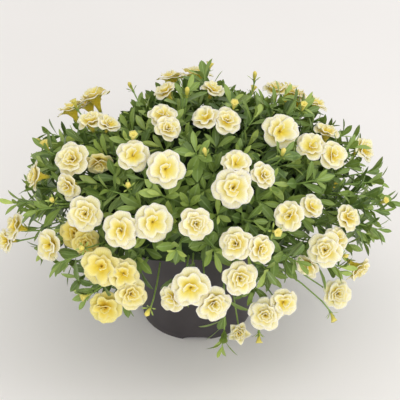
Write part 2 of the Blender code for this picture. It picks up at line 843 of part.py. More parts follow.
def make_blooms(places):
    """Each node's blooms as meshes, and where the stalk under each one ends."""
    bloom_parts = {}
    stalk_ends = []
    for n, (name, blooms) in enumerate(places.items()):
        bloom_parts[name] = []
        for k, (point, axis, width) in enumerate(blooms):
            bloom_parts[name].append(bloom_shape(name, width, point, axis, 100 * n + k))
            size = min(width / BLOOM_WIDTH, 1.0)
            stalk_ends.append((point - axis * (BLOOM_TUBE * size + GAP), axis))
    return bloom_parts, stalk_ends


def widest_gaps(points, count):
    """Directions for the shoots: each in the widest gap left between the blooms and the others."""
    golden = math.pi * (3 - math.sqrt(5))
    options = []
    for i in range(GAP_SPOTS):
        height = GAP_LOWEST + (GAP_HIGHEST - GAP_LOWEST) * (i + 0.5) / GAP_SPOTS
        r = math.sqrt(1 - height * height)
        options.append(Vector((r * math.cos(golden * i), r * math.sin(golden * i), height)))
    taken = [to_sphere(p).normalized() for p in points]
    room = [min((o - t).length for t in taken) for o in options]
    found = []
    for _ in range(count):
        best = options[max(range(GAP_SPOTS), key=lambda i: room[i])]
        found.append(best)
        room = [min(r, (o - best).length) for r, o in zip(room, options)]
    return found


def shoot_tips(bloom_points, dice):
    """Where each leafy shoot ends, and how far out that is."""
    tips = [(seen_at(across, down, reach), reach) for across, down, reach in OUTER_SHOOTS]
    tips += [(dome_point(b, t, reach), reach) for b, t, reach in BACK_SHOOTS]
    for way in widest_gaps(bloom_points + [tip for tip, _ in tips], GAP_SHOOTS):
        reach = dice.uniform(*GAP_SHOOT_REACH)
        tips.append((from_sphere(way * reach), reach))
    return tips


class Greenery:
    """The green pieces of every leafy stem, each added only where it crosses nothing."""

    def __init__(self, bloom_meshes, pot_mesh):
        self.bloom_tree = tree_of(bloom_meshes)
        self.pot_tree = tree_of([pot_mesh])
        self.pieces = []
        self.cores = []
        for i in range(len(STEMS)):
            for step in range(CORE_STEPS):
                reach = CORE_REACH - CORE_STEP * step
                core = make_core(f"core_{i + 1}", i, random.Random(i), reach)
                if is_clear(core, [self.bloom_tree, self.pot_tree]):
                    break
            print("core", i + 1, "reaches", round(reach, 2))
            self.pieces.append([core, make_stem(f"stem_{i + 1}", i)])
            tree = tree_of([core])
            self.cores.append((heart_of(core, tree), tree))

    def around(self, number):
        """What a leafy stem's pieces must not cross: the pot, the blooms and the other stems."""
        rest = [m for j, meshes in enumerate(self.pieces) if j != number for m in meshes]
        return [tree_of(rest), self.bloom_tree, self.pot_tree]

    def grow(self, name, end, reach, axis=None):
        """A stalk with a calyx, where it has an axis, or a bare shoot, from the nearest core to its
        end, on the first way that is clear."""
        d = to_sphere(end).normalized()
        near = sorted(range(len(STEMS)), key=lambda i: -d.dot(STEM_DIRECTIONS[i]))
        for number in near[:3]:
            around = self.around(number)
            for share, lean, swing in itertools.product(TRY_SHARES, TRY_LEANS, TRY_SWINGS):
                start = core_start(number, self.cores[number], end, share)
                way, piece = one_way(name, start, end, reach, axis, lean, swing)
                rooted = not is_clear(piece, self.cores[number][1:])
                if rooted and is_clear(piece, around):
                    self.pieces[number].append(piece)
                    return number, way, piece
        raise RuntimeError(name + " has no clear way")

    def leaf(self, number, carrier, root, ahead, turn, open_angle, length, around, own):
        """A leaf rooted in what carries it, turned and bent until it crosses nothing else."""
        around = around + [tree_of(own)]
        for tried in range(LEAF_TRIES):
            bent = open_angle + math.radians((tried % 3 - 1) * LEAF_BEND)
            side = facing(root, ahead, turn + TURN_OF_LEAVES * tried).to_3x3() @ Vector((1, 0, 0))
            along = ahead * math.cos(bent) + side * math.sin(bent)
            up = ahead * math.sin(bent) - side * math.cos(bent)
            guard_root = root + along * LEAF_SUNK
            guard = leaf_mesh("guard", length, guard_root, along, up, LEAF_RIB * 2, GUARD_SWELL)
            leaf = leaf_mesh("leaf", length, root, along, up)
            if is_clear(guard, around) and not is_clear(leaf, [carrier]):
                self.pieces[number].append(leaf)
                own.append(leaf)
                return

    def leaves_on_shoot(self, n, number, way, shoot, dice):
        """The leaves up one shoot: wide open at its foot and closing towards its tip."""
        around = self.around(number)
        own = [m for m in self.pieces[number][1:] if m is not shoot]
        carrier = tree_of([shoot])
        for k in range(SHOOT_LEAVES):
            up = k / (SHOOT_LEAVES - 1)
            root = along_path(way, SHOOT_BARE + (SHOOT_TOP - SHOOT_BARE) * up)
            ahead = (way[2] - way[1]).normalized()
            open_angle = math.radians(SHOOT_OPEN[0] + (SHOOT_OPEN[1] - SHOOT_OPEN[0]) * up)
            length = dice.uniform(*LEAF_LENGTH) * (TIP_LEAF if k == SHOOT_LEAVES - 1 else 1)
            turn = TURN_OF_LEAVES * k + n
            self.leaf(number, carrier, root, ahead, turn, open_angle, length, around, own)

    def leaves_on_core(self, number, dice):
        """The leaves that stand out of one core, spread over it by the golden turn."""
        around = self.around(number)
        own = list(self.pieces[number][1:])
        carrier = self.cores[number][1]
        for k in range(CORE_LEAVES):
            out = math.sqrt((k + 0.5) / CORE_LEAVES) * CORE_LEAF_SPREAD
            root = core_inside(
                self.cores[number], core_place(number, TURN_OF_LEAVES * k, out, CORE_REACH)
            )
            length = dice.uniform(*CORE_LEAF_LENGTH)
            open_angle = math.radians(CORE_LEAF_OPEN)
            turn = CORE_LEAF_TURN * k
            out_way = dome_normal(root)
            self.leaf(number, carrier, root, out_way, turn, open_angle, length, around, own)


def one_way(name, start, end, reach, axis, lean, swing):
    """One way from a core to an end: a stalk comes in along its bloom's axis, and a shoot arches
    under the dome. Either may swing aside."""
    if axis:
        aside = (end - start).cross(axis)
        bend = end - axis * lean
        last = end - axis * CUP_RISE
    else:
        aside = (end - start).cross(Vector((0, 0, 1)))
        bend = from_sphere(to_sphere(start.lerp(end, 0.6)).normalized() * reach * SHOOT_ARCH)
        last = end
    bend = bend + aside.normalized() * swing
    way = [curve_point(start, bend, last, t) for t in (0, 0.5, 1)]
    if axis:
        radii = [STALK_RADIUS * 1.2, STALK_RADIUS, STALK_RADIUS]
        return way, tube(name, way, radii, STALK_SIDES, (CUP_WIDTH, CUP_RISE), axis)
    radii = [SHOOT_RADIUS * 1.1, SHOOT_RADIUS, SHOOT_RADIUS * 0.85]
    return way, tube(name, way, radii, SHOOT_SIDES)


def build():
    """Model every piece."""
    clear_scene()
    parts = new_collection("calibrachoa")
    cutters = new_collection("cutters")
    charcoal = new_material("charcoal polypropylene", (0.045, 0.042, 0.043), 0.6)
    peat = new_material("peat compost", (0.05, 0.03, 0.02), 0.95)
    green = new_material("leaf", (0.08, 0.20, 0.04), 0.5)
    cream = new_material("petal", (0.90, 0.80, 0.42), 0.6)

    pot = make_pot(parts, cutters, charcoal)
    make_soil(parts, cutters, peat)
    bpy.context.view_layer.update()
    graph = bpy.context.evaluated_depsgraph_get()
    pot_mesh = bpy.data.meshes.new_from_object(pot.evaluated_get(graph))

    places = bloom_places()
    bloom_parts, stalk_ends = make_blooms(places)
    greens = Greenery([m for meshes in bloom_parts.values() for m in meshes], pot_mesh)
    for n, (end, axis) in enumerate(stalk_ends):
        greens.grow(f"stalk_{n + 1}", end, 1, axis)
    dice = random.Random(SHOOT_SEED)
    bloom_points = [point for blooms in places.values() for point, _, _ in blooms]
    tips = shoot_tips(bloom_points, dice)
    shoots = [greens.grow(f"shoot_{n + 1}", tip, reach) for n, (tip, reach) in enumerate(tips)]
    for n, (number, way, shoot) in enumerate(shoots):
        greens.leaves_on_shoot(n, number, way, shoot, dice)
    for number in range(len(STEMS)):
        greens.leaves_on_core(number, dice)

    for name, meshes in bloom_parts.items():
        fuse(name, meshes, parts, cream)
    for number, meshes in enumerate(greens.pieces):
        fuse(f"leafy_stem_{number + 1:02d}", meshes, parts, green)


build()
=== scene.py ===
# %% [markdown]
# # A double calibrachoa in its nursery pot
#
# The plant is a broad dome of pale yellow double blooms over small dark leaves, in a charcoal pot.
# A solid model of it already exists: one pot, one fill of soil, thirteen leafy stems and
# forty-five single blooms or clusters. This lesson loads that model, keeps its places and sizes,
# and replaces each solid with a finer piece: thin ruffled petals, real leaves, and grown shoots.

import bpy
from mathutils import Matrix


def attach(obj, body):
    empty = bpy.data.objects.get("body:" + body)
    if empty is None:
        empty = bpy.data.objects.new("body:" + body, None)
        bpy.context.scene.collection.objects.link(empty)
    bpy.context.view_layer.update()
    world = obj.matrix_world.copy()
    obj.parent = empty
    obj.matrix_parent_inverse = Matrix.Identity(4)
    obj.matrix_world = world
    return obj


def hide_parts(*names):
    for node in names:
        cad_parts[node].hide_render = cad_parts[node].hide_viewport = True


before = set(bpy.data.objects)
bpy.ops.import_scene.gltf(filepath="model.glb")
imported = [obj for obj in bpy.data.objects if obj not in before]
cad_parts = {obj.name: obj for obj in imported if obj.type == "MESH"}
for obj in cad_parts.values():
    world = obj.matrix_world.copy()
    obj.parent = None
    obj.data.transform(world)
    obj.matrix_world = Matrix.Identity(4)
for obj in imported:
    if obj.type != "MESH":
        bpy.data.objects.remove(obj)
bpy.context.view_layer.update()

# %% [markdown]
# ## Measures
#
# Everything is in metres, so a length reads best as a number of millimetres times MM. The plant's
# blooms lie on a dome, half of a flattened ball that droops over the pot. All rules below place
# things on that dome, so its middle and its three half sizes come first.

# %% The dome and the picture
import math
import random

import bmesh
import bpy
from mathutils import Matrix, Vector
from mathutils.bvhtree import BVHTree

MM = 0.001
DOME_CENTRE = Vector((0, 0, 121 * MM))
DOME_HALF = Vector((172 * MM, 146 * MM, 108 * MM))
VIEW_RISE = math.radians(33.5)
VIEW_AIM = Vector((3 * MM, 0, 121 * MM))
VIEW_DISTANCE = 1.2
PICTURE_MIDDLE = 200
PICTURE_PIXEL = 0.9 * MM
VIEW_RIGHT = Vector((1, 0, 0))
VIEW_UP = Vector((0, math.sin(VIEW_RISE), math.cos(VIEW_RISE)))
VIEW_BACK = Vector((0, -math.cos(VIEW_RISE), math.sin(VIEW_RISE)))


def to_ball(point):
    """The point as it would lie if the dome were a ball of radius 1."""
    d = point - DOME_CENTRE
    return Vector((d.x / DOME_HALF.x, d.y / DOME_HALF.y, d.z / DOME_HALF.z))


def from_ball(point):
    """The place in the plant of a point of that ball."""
    return DOME_CENTRE + Vector(
        (point.x * DOME_HALF.x, point.y * DOME_HALF.y, point.z * DOME_HALF.z)
    )


def out_of_dome(point):
    """The direction straight out of the dome below a point."""
    p = to_ball(point)
    return Vector((p.x / DOME_HALF.x, p.y / DOME_HALF.y, p.z / DOME_HALF.z)).normalized()


def on_dome(bearing, latitude, reach):
    """The place at a bearing from the front and a latitude, a share of the way out."""
    b, t = math.radians(bearing), math.radians(latitude)
    ball = Vector((math.sin(b) * math.cos(t), -math.cos(b) * math.cos(t), math.sin(t)))
    return from_ball(ball * reach)


def seen_at(across, down, reach):
    """The near place on the dome that shows at a place in the 400 by 400 picture."""
    aim = VIEW_AIM + VIEW_RIGHT * (across - PICTURE_MIDDLE) * PICTURE_PIXEL
    aim += VIEW_UP * (PICTURE_MIDDLE - down) * PICTURE_PIXEL
    start = to_ball(VIEW_AIM + VIEW_DISTANCE * VIEW_BACK)
    step = to_ball(aim) - start
    a, b, c = step.dot(step), start.dot(step), start.dot(start) - reach * reach
    inside = max(b * b - a * c, 0)
    return from_ball(start + step * ((-b - math.sqrt(inside)) / a))


# %% [markdown]
# ## The camera
#
# The picture looks down at the plant by about a third of a right angle, from 1.2 metres away. A
# long lens keeps the near blooms from looking much larger than the far ones, as in the photograph.

# %% Camera
SENSOR = 36.0
camera = bpy.data.objects.new("camera", bpy.data.cameras.new("camera"))
bpy.context.scene.collection.objects.link(camera)
camera.location = VIEW_AIM + VIEW_DISTANCE * VIEW_BACK
camera.rotation_euler = (-VIEW_BACK).to_track_quat("-Z", "Y").to_euler()
camera.data.sensor_width = SENSOR
camera.data.lens = SENSOR * VIEW_DISTANCE / (2 * PICTURE_MIDDLE * PICTURE_PIXEL)
bpy.context.scene.camera = camera
print("lens:", round(camera.data.lens, 1), "mm")

# %% [markdown]
# ## Where the blooms are
#
# The solid model holds its blooms in nodes: alone, or in clusters that touch. The list below gives
# for each bloom where its middle shows in the picture (across, down), how wide it is there, how far
# it faces right and up, and how far out it lies. The far side has a shorter list of its own, by
# bearing, latitude and width. The same two lists place the fine blooms, so they fit the solids.

# %% Bloom lists
FRONT_BLOOMS = {
    "bloom_01": [(72, 159, 35, -0.25, 0.20, 1.00)],
    "bloom_02": [(85, 214, 36, -0.10, 0.00, 1.00)],
    "bloom_03": [(121, 230, 38, -0.10, -0.05, 1.00), (153, 222, 38, 0.10, 0.05, 0.97)],
    "bloom_04": [(196, 224, 33, 0.05, -0.15, 1.00)],
    "bloom_05": [(133, 155, 32, 0.00, 0.20, 1.00)],
    "bloom_06": [(166, 169, 37, 0.10, 0.05, 1.00)],
    "bloom_07": [(233, 188, 39, 0.00, 0.00, 1.00), (236, 163, 30, 0.05, 0.50, 1.03)],
    "bloom_08": [(264, 175, 27, 0.40, 0.20, 1.00)],
    "bloom_09": [(280, 131, 37, 0.10, 0.20, 1.00)],
    "bloom_10": [(205, 117, 28, -0.25, 0.55, 1.00), (227, 120, 30, 0.20, 0.45, 1.00)],
    "bloom_11": [(163, 115, 30, -0.05, 0.60, 1.00), (168, 128, 26, 0.25, 0.30, 0.99)],
    "bloom_12": [(90, 120, 28, -0.20, 0.80, 1.00), (109, 123, 24, 0.30, 0.75, 0.95)],
    "bloom_13": [(99, 164, 28, 0.10, -0.70, 0.85)],
    "bloom_14": [(67, 187, 28, -0.55, -0.25, 0.98)],
    "bloom_15": [(34, 176, 30, -0.95, 0.05, 1.00)],
    "bloom_16": [(14, 226, 32, -0.85, 0.25, 1.00), (5, 241, 26, -0.80, 0.00, 1.00)],
    "bloom_17": [(48, 245, 33, -0.60, -0.10, 1.00)],
    "bloom_18": [(74, 233, 30, -0.20, 0.10, 0.88), (86, 243, 28, 0.25, -0.25, 0.88)],
    "bloom_19": [
        (101, 267, 38, -0.10, -0.10, 1.00),
        (124, 274, 32, 0.25, 0.05, 0.96),
        (131, 294, 32, 0.20, -0.20, 0.98),
    ],
    "bloom_20": [(105, 308, 34, -0.10, -0.25, 1.00)],
    "bloom_21": [
        (191, 288, 38, 0.00, -0.10, 1.00),
        (172, 298, 28, -0.45, -0.20, 0.99),
        (214, 304, 36, 0.25, -0.35, 1.01),
    ],
    "bloom_22": [(240, 278, 34, 0.05, -0.10, 1.00)],
    "bloom_23": [(236, 244, 33, -0.20, 0.00, 1.00), (261, 249, 28, 0.40, -0.10, 1.02)],
    "bloom_24": [(289, 216, 30, -0.30, 0.10, 1.00)],
    "bloom_25": [(349, 217, 28, 0.55, 0.30, 1.00)],
    "bloom_26": [(325, 250, 36, -0.10, 0.00, 1.00), (337, 238, 26, 0.40, 0.30, 0.99)],
    "bloom_27": [(307, 267, 26, -0.55, -0.45, 0.92)],
    "bloom_28": [(359, 270, 30, 0.70, -0.65, 1.00)],
    "bloom_29": [(338, 294, 32, 0.20, 0.00, 1.00)],
    "bloom_30": [(265, 315, 33, -0.10, -0.10, 1.00), (284, 303, 30, 0.35, -0.15, 0.98)],
    "bloom_31": [(239, 333, 25, -0.05, 0.05, 1.00)],
    "bloom_32": [(311, 146, 30, 0.00, 0.40, 1.00), (333, 155, 30, 0.30, 0.20, 1.03)],
    "bloom_33": [(327, 131, 28, 0.20, 0.88, 0.97)],
    "bloom_34": [(365, 149, 29, 0.75, 0.35, 1.00)],
    "bloom_35": [(276, 88, 28, 0.05, 0.85, 1.00)],
    "bloom_36": [(165, 90, 26, -0.50, 0.75, 1.00)],
    "bloom_37": [(213, 88, 24, 0.30, 0.80, 1.00)],
    "bloom_38": [(312, 206, 24, 0.25, 0.30, 0.95)],
}
BACK_BLOOMS = {
    "bloom_39": [(180, 46, 33), (191, 41, 30)],
    "bloom_40": [(226, 38, 34), (235, 32, 31), (224, 28, 30)],
    "bloom_41": [(138, 40, 34), (129, 34, 31), (138, 30, 32)],
    "bloom_42": [(170, 10, 34), (177, 3, 31), (167, 1, 30)],
    "bloom_43": [(214, 0, 34), (222, -6, 31), (212, -9, 32)],
    "bloom_44": [(136, -14, 33), (128, -8, 32), (126, -17, 30)],
    "bloom_45": [(180, -28, 33), (188, -34, 30), (192, -26, 32)],
}
BLOOM_SET_IN = 0.97
BACK_BLOOM_LIFT = 0.3

places = {}
for name, seen in FRONT_BLOOMS.items():
    places[name] = []
    for across, down, wide, right, up, reach in seen:
        level = math.sqrt(max(1 - right * right - up * up, 0))
        axis = (VIEW_BACK * level + VIEW_RIGHT * right + VIEW_UP * up).normalized()
        point = seen_at(across, down, reach * BLOOM_SET_IN)
        places[name].append((point, axis, wide * PICTURE_PIXEL))
for name, placed in BACK_BLOOMS.items():
    places[name] = []
    for bearing, latitude, wide in placed:
        point = on_dome(bearing, latitude, BLOOM_SET_IN)
        axis = (out_of_dome(point) + Vector((0, 0, BACK_BLOOM_LIFT))).normalized()
        places[name].append((point, axis, wide * MM))
print("blooms:", sum(len(blooms) for blooms in places.values()), "in", len(places), "nodes")

# %% [markdown]
# ## A heap of sheets
#
# Petals and leaves are all sheets: a grid of points, bent into shape. A heap collects the points
# and faces of many sheets, so that a whole bloom or a whole leafy stem becomes one mesh. Each point
# also carries a mark of four numbers, painted on the plant as a dye would be: the materials read
# them to know how far out on a petal or along a leaf a point lies.


# %% Heap
class Heap:
    """Points, faces, finishes and marks of one mesh in the making."""

    def __init__(self):
        self.points = []
        self.marks = []
        self.back_marks = []
        self.faces = []
        self.finishes = []

    def add(self, points, marks, faces, finish=0, back_marks=None):
        """Put in one sheet or tube, whose back may have marks of its own."""
        base = len(self.points)
        self.points += points
        self.marks += marks
        self.back_marks += back_marks or marks
        self.faces += [tuple(base + i for i in face) for face in faces]
        self.finishes += [finish] * len(faces)

    def object(self, name, materials):
        """Make one mesh object of all that was put in."""
        mesh = bpy.data.meshes.new(name)
        mesh.from_pydata([tuple(p) for p in self.points], [], self.faces)
        mark = mesh.attributes.new("mark", "FLOAT_COLOR", "POINT")
        mark.data.foreach_set("color", [n for four in self.marks for n in four])
        for material in materials:
            mesh.materials.append(material)
        mesh.polygons.foreach_set("material_index", self.finishes)
        mesh.polygons.foreach_set("use_smooth", [True] * len(self.faces))
        mesh.update()
        made = bpy.data.objects.new(name, mesh)
        bpy.context.scene.collection.objects.link(made)
        return made


def grid_faces(rows, columns, closed):
    """The faces of a grid of points, row after row, closed round its rows or not."""
    faces = []
    for r in range(rows - 1):
        for c in range(columns if closed else columns - 1):
            d = (c + 1) % columns
            faces.append(
                (r * columns + c, r * columns + d, (r + 1) * columns + d, (r + 1) * columns + c)
            )
    return faces


def facing(point, axis, spin):
    """The placement that puts a shape's Z axis along an axis at a point."""
    turn = axis.to_track_quat("Z", "Y").to_matrix().to_4x4()
    return Matrix.Translation(point) @ turn @ Matrix.Rotation(spin, 4, "Z")


# %% [markdown]
# ## Colours and nodes
#
# Colours are written as the hex values that a picture program shows. Blender works in linear light,
# so one function turns them over. Another adds a node with its settings and links in one line,
# which keeps each material short enough to read. A socket goes by its name, or by its number with
# an underscore before it. A noise's scale is one over the real size of its spots.


# %% Colour and node helpers
BLEND = {"data_type": "RGBA"}
MULTIPLY = {"data_type": "RGBA", "blend_type": "MULTIPLY"}
SCALE_AND_ADD = {"operation": "MULTIPLY_ADD"}


def linear(hex_colour, alpha=1.0):
    """An sRGB hex colour as linear light."""
    values = [int(hex_colour[i : i + 2], 16) / 255 for i in (1, 3, 5)]
    light = [v / 12.92 if v <= 0.04045 else ((v + 0.055) / 1.055) ** 2.4 for v in values]
    return (*light, alpha)


def add_node(tree, kind, settings=None, **links):
    """A node of a kind with its settings, and values or links for its sockets."""
    made = tree.nodes.new("ShaderNode" + kind)
    for name, value in (settings or {}).items():
        setattr(made, name, value)
    for name, value in links.items():
        key = int(name[1:]) if name[0] == "_" else name.replace("_", " ")
        socket = made.inputs[key]
        if isinstance(value, bpy.types.NodeSocket):
            tree.links.new(value, socket)
        else:
            socket.default_value = value
    return made


def paint_ramp(ramp, stops):
    """Set the stops of a colour ramp from a list of (place, hex colour)."""
    band = ramp.color_ramp
    while len(band.elements) > 1:
        band.elements.remove(band.elements[0])
    band.elements[0].position = stops[0][0]
    band.elements[0].color = linear(stops[0][1])
    for place, colour in stops[1:]:
        band.elements.new(place).color = linear(colour)


def new_finish(name, **constants):
    """A material with a Principled shader whose constants are set on its own sockets."""
    made = bpy.data.materials.new(name)
    made.use_nodes = True
    tree = made.node_tree
    shader = tree.nodes["Principled BSDF"]
    for key, value in constants.items():
        shader.inputs[key.replace("_", " ")].default_value = value
    return made, tree, shader


def mottled_finish(name, spot, detail, stops, **constants):
    """A finish whose colour wanders between stops, in spots of a real size."""
    made, tree, shader = new_finish(name, **constants)
    place = add_node(tree, "TexCoord").outputs["Object"]
    spots = add_node(tree, "TexNoise", Vector=place, Scale=1 / spot, Detail=detail)
    hue = add_node(tree, "ValToRGB", Fac=spots.outputs[0])
    paint_ramp(hue, stops)
    tree.links.new(hue.outputs[0], shader.inputs["Base Color"])
    return made, tree, shader, spots.outputs[0]


# %% [markdown]
# ## Petal
#
# A calibrachoa petal is living tissue a few tenths of a millimetre thick. Its surface is a layer of
# tiny domed cells, so it is matt and a little velvety, and light soaks into it and comes out again
# nearby. Its colour changes from a golden eye through lemon to a cream rim, with faint veins that
# fan out from the throat. A ramp over the petal's reach gives the colours, a sine round the bloom
# gives the veins, and a little subsurface light gives the glow. The mark's four numbers are the
# reach from the eye to the rim, the share of the way round, how golden the petal is, and how green,
# as the funnel's foot is.

# %% Petal colours
VEINS = 44
PETAL_BLOTCH = 7.1 * MM
PETAL_CRUMPLE = 2.4 * MM
petal, tree, shader = new_finish(
    "double_calibrachoa_petal",
    Roughness=0.62,
    IOR=1.4,
    Subsurface_Weight=0.5,
    Subsurface_Radius=(1.0, 0.95, 0.6),
    Subsurface_Scale=1.2 * MM,
    Sheen_Weight=0.12,
    Sheen_Roughness=0.5,
)
mark = add_node(tree, "Attribute", {"attribute_name": "mark"})
parts = add_node(tree, "SeparateColor", _0=mark.outputs["Color"])
place = add_node(tree, "TexCoord").outputs["Object"]
blotch = add_node(tree, "TexNoise", Vector=place, Scale=1 / PETAL_BLOTCH, Detail=2.0)
shift = add_node(tree, "Math", SCALE_AND_ADD, _0=blotch.outputs["Fac"], _1=0.20, _2=-0.10)
reach = add_node(tree, "Math", {"operation": "ADD"}, _0=parts.outputs[0], _1=shift.outputs[0])
hue = add_node(tree, "ValToRGB", Fac=reach.outputs[0])
paint_ramp(
    hue,
    [
        (0.00, "#D2B640"),
        (0.05, "#E4C844"),
        (0.15, "#F2DA4E"),
        (0.35, "#F7E57C"),
        (0.55, "#F9ECA6"),
        (0.75, "#FAF1C6"),
        (0.92, "#FBF3D8"),
        (1.00, "#FDF8EC"),
    ],
)
gold = add_node(
    tree, "Mix", MULTIPLY, _0=parts.outputs[2], _6=hue.outputs[0], _7=linear("#F8EA7C")
)
round_bloom = add_node(
    tree, "Math", {"operation": "MULTIPLY"}, _0=parts.outputs[1], _1=2 * math.pi * VEINS
)
wave = add_node(tree, "Math", {"operation": "SINE"}, _0=round_bloom.outputs[0])
vein = add_node(tree, "MapRange", _0=wave.outputs[0], _1=0.35, _2=1.0, _3=0.0, _4=0.22)
veined = add_node(
    tree, "Mix", MULTIPLY, _0=vein.outputs[0], _6=gold.outputs[2], _7=linear("#EEE08A")
)
foot = add_node(
    tree, "Mix", BLEND, _0=mark.outputs["Alpha"], _6=veined.outputs[2], _7=linear("#B4B84A")
)
tree.links.new(foot.outputs[2], shader.inputs["Base Color"])
print("petal colours:", len(tree.nodes), "nodes")

# %% Petal surface
crumple = add_node(tree, "TexNoise", Vector=place, Scale=1 / PETAL_CRUMPLE, Detail=3.0)
height = add_node(tree, "Math", SCALE_AND_ADD, _0=wave.outputs[0], _1=0.25, _2=crumple.outputs[0])
bump = add_node(tree, "Bump", Strength=0.25, Distance=0.3 * MM, Height=height.outputs[0])
tree.links.new(bump.outputs[0], shader.inputs["Normal"])
print("petal:", len(tree.nodes), "nodes")

# %% [markdown]
# ## Leaf
#
# The leaves are small, thick and slightly sticky, with a waxy skin that gives a soft gloss. Old
# leaves are deep green, young ones at the shoot tips are a bright yellow-green, and the midrib is
# lighter than the blade. The mark carries how far along and across a leaf a point lies, its shade
# and its youth. Broad spots mottle the blade, and a fine bump gives the skin its grain.

# %% Leaf material
LEAF_BLOTCH = 3.85 * MM
LEAF_SKIN = 1.1 * MM
leaf, tree, shader = new_finish("waxy_leaf", Roughness=0.42, IOR=1.45, Specular_IOR_Level=0.45)
mark = add_node(tree, "Attribute", {"attribute_name": "mark"})
parts = add_node(tree, "SeparateColor", _0=mark.outputs["Color"])
place = add_node(tree, "TexCoord").outputs["Object"]
old = add_node(tree, "ValToRGB", Fac=parts.outputs[2])
paint_ramp(old, [(0.0, "#475C2C"), (0.4, "#68823C"), (0.75, "#8CA44C"), (1.0, "#ACC062")])
young = add_node(
    tree, "Mix", BLEND, _0=mark.outputs["Alpha"], _6=old.outputs[0], _7=linear("#C0D069")
)
rib = add_node(tree, "MapRange", _0=parts.outputs[1], _1=0.0, _2=0.22, _3=0.55, _4=0.0)
ribbed = add_node(
    tree, "Mix", BLEND, _0=rib.outputs[0], _6=young.outputs[2], _7=linear("#A3BC78")
)
blotch = add_node(tree, "TexNoise", Vector=place, Scale=1 / LEAF_BLOTCH, Detail=2.0)
fade = add_node(tree, "MapRange", _0=blotch.outputs[0], _1=0.3, _2=0.7, _3=0.0, _4=0.35)
mottled = add_node(
    tree, "Mix", MULTIPLY, _0=fade.outputs[0], _6=ribbed.outputs[2], _7=linear("#B9C9A0")
)
tree.links.new(mottled.outputs[2], shader.inputs["Base Color"])
skin = add_node(tree, "TexNoise", Vector=place, Scale=1 / LEAF_SKIN, Detail=2.0)
bump = add_node(tree, "Bump", Strength=0.2, Distance=0.2 * MM, Height=skin.outputs[0])
tree.links.new(bump.outputs[0], shader.inputs["Normal"])
print("leaf:", len(tree.nodes), "nodes")

# %% [markdown]
# ## Shoot, shade and young wood
#
# A green shoot is soft living stem, lighter than the leaves and streaked along its length. Painted
# shade fills the depth of the bush: its old leaves, which the eye can't tell apart, become one
# nearly black green, matt and lumpy finish. The feet have begun to turn to wood, whose thin bark
# is dry, brown and fibrous.

# %% Shoot, shade and wood materials
SHOOT_STREAK = 8.3 * MM
SHADE_CLUMP = 6.7 * MM
BARK_GRAIN = 1.7 * MM
shoot = mottled_finish(
    "green_shoot", SHOOT_STREAK, 2.0, [(0.3, "#7D9C48"), (0.7, "#9DB862")], Roughness=0.5, IOR=1.42
)[0]
# painted shade: this nearly black green finish stands in for the shaded depth of the bush
shade, tree, shader, clump = mottled_finish(
    "painted_inner_shade", SHADE_CLUMP, 4.0, [(0.35, "#1E2E16"), (0.65, "#35491F")], Roughness=0.7, IOR=1.4
)
bump = add_node(tree, "Bump", Strength=0.6, Distance=2 * MM, Height=clump)
tree.links.new(bump.outputs[0], shader.inputs["Normal"])
bark = mottled_finish(
    "young_wood", BARK_GRAIN, 4.0, [(0.3, "#5E5233"), (0.7, "#8C8152")], Roughness=0.8, IOR=1.5
)[0]
print("greens:", shoot.name, shade.name, bark.name)

# %% [markdown]
# ## A double bloom
#
# A double calibrachoa is a flower inside a flower. The outer one is a funnel that opens into five
# broad lobes with shallow notches. From its throat rises a second, smaller and ruffled corolla, and
# inside that a last petal rolls round the golden eye like the heart of a rose. Each corolla is a
# sheet laid over rings: the ring's radius and height are functions of the angle, so lobes, notches
# and waves are sums of sines. The same seeded draws as in the solid set each lobe's size, so the
# fine bloom fills the same outline.

# %% Outer flower
LOBES = 5
BLOOM_WIDTH = 34 * MM
FUNNEL_LENGTH = 17 * MM
THROAT = 4.2 * MM
THROAT_DEPTH = 6 * MM
ROUND = 60
LIMB_RINGS = 11
# how sharp and how deep the notch between two lobes is, on an open and on a half open bloom
ROUND_NOTCH = (8, 0.15)
STAR_NOTCH = (1.1, 0.34)


def between(values, angle):
    """A smooth value at an angle from ten values spaced evenly round the bloom."""
    spot = (angle / (2 * math.pi)) % 1 * len(values)
    i = int(spot)
    part = spot - i
    part = part * part * (3 - 2 * part)
    return values[i % len(values)] * (1 - part) + values[(i + 1) % len(values)] * part


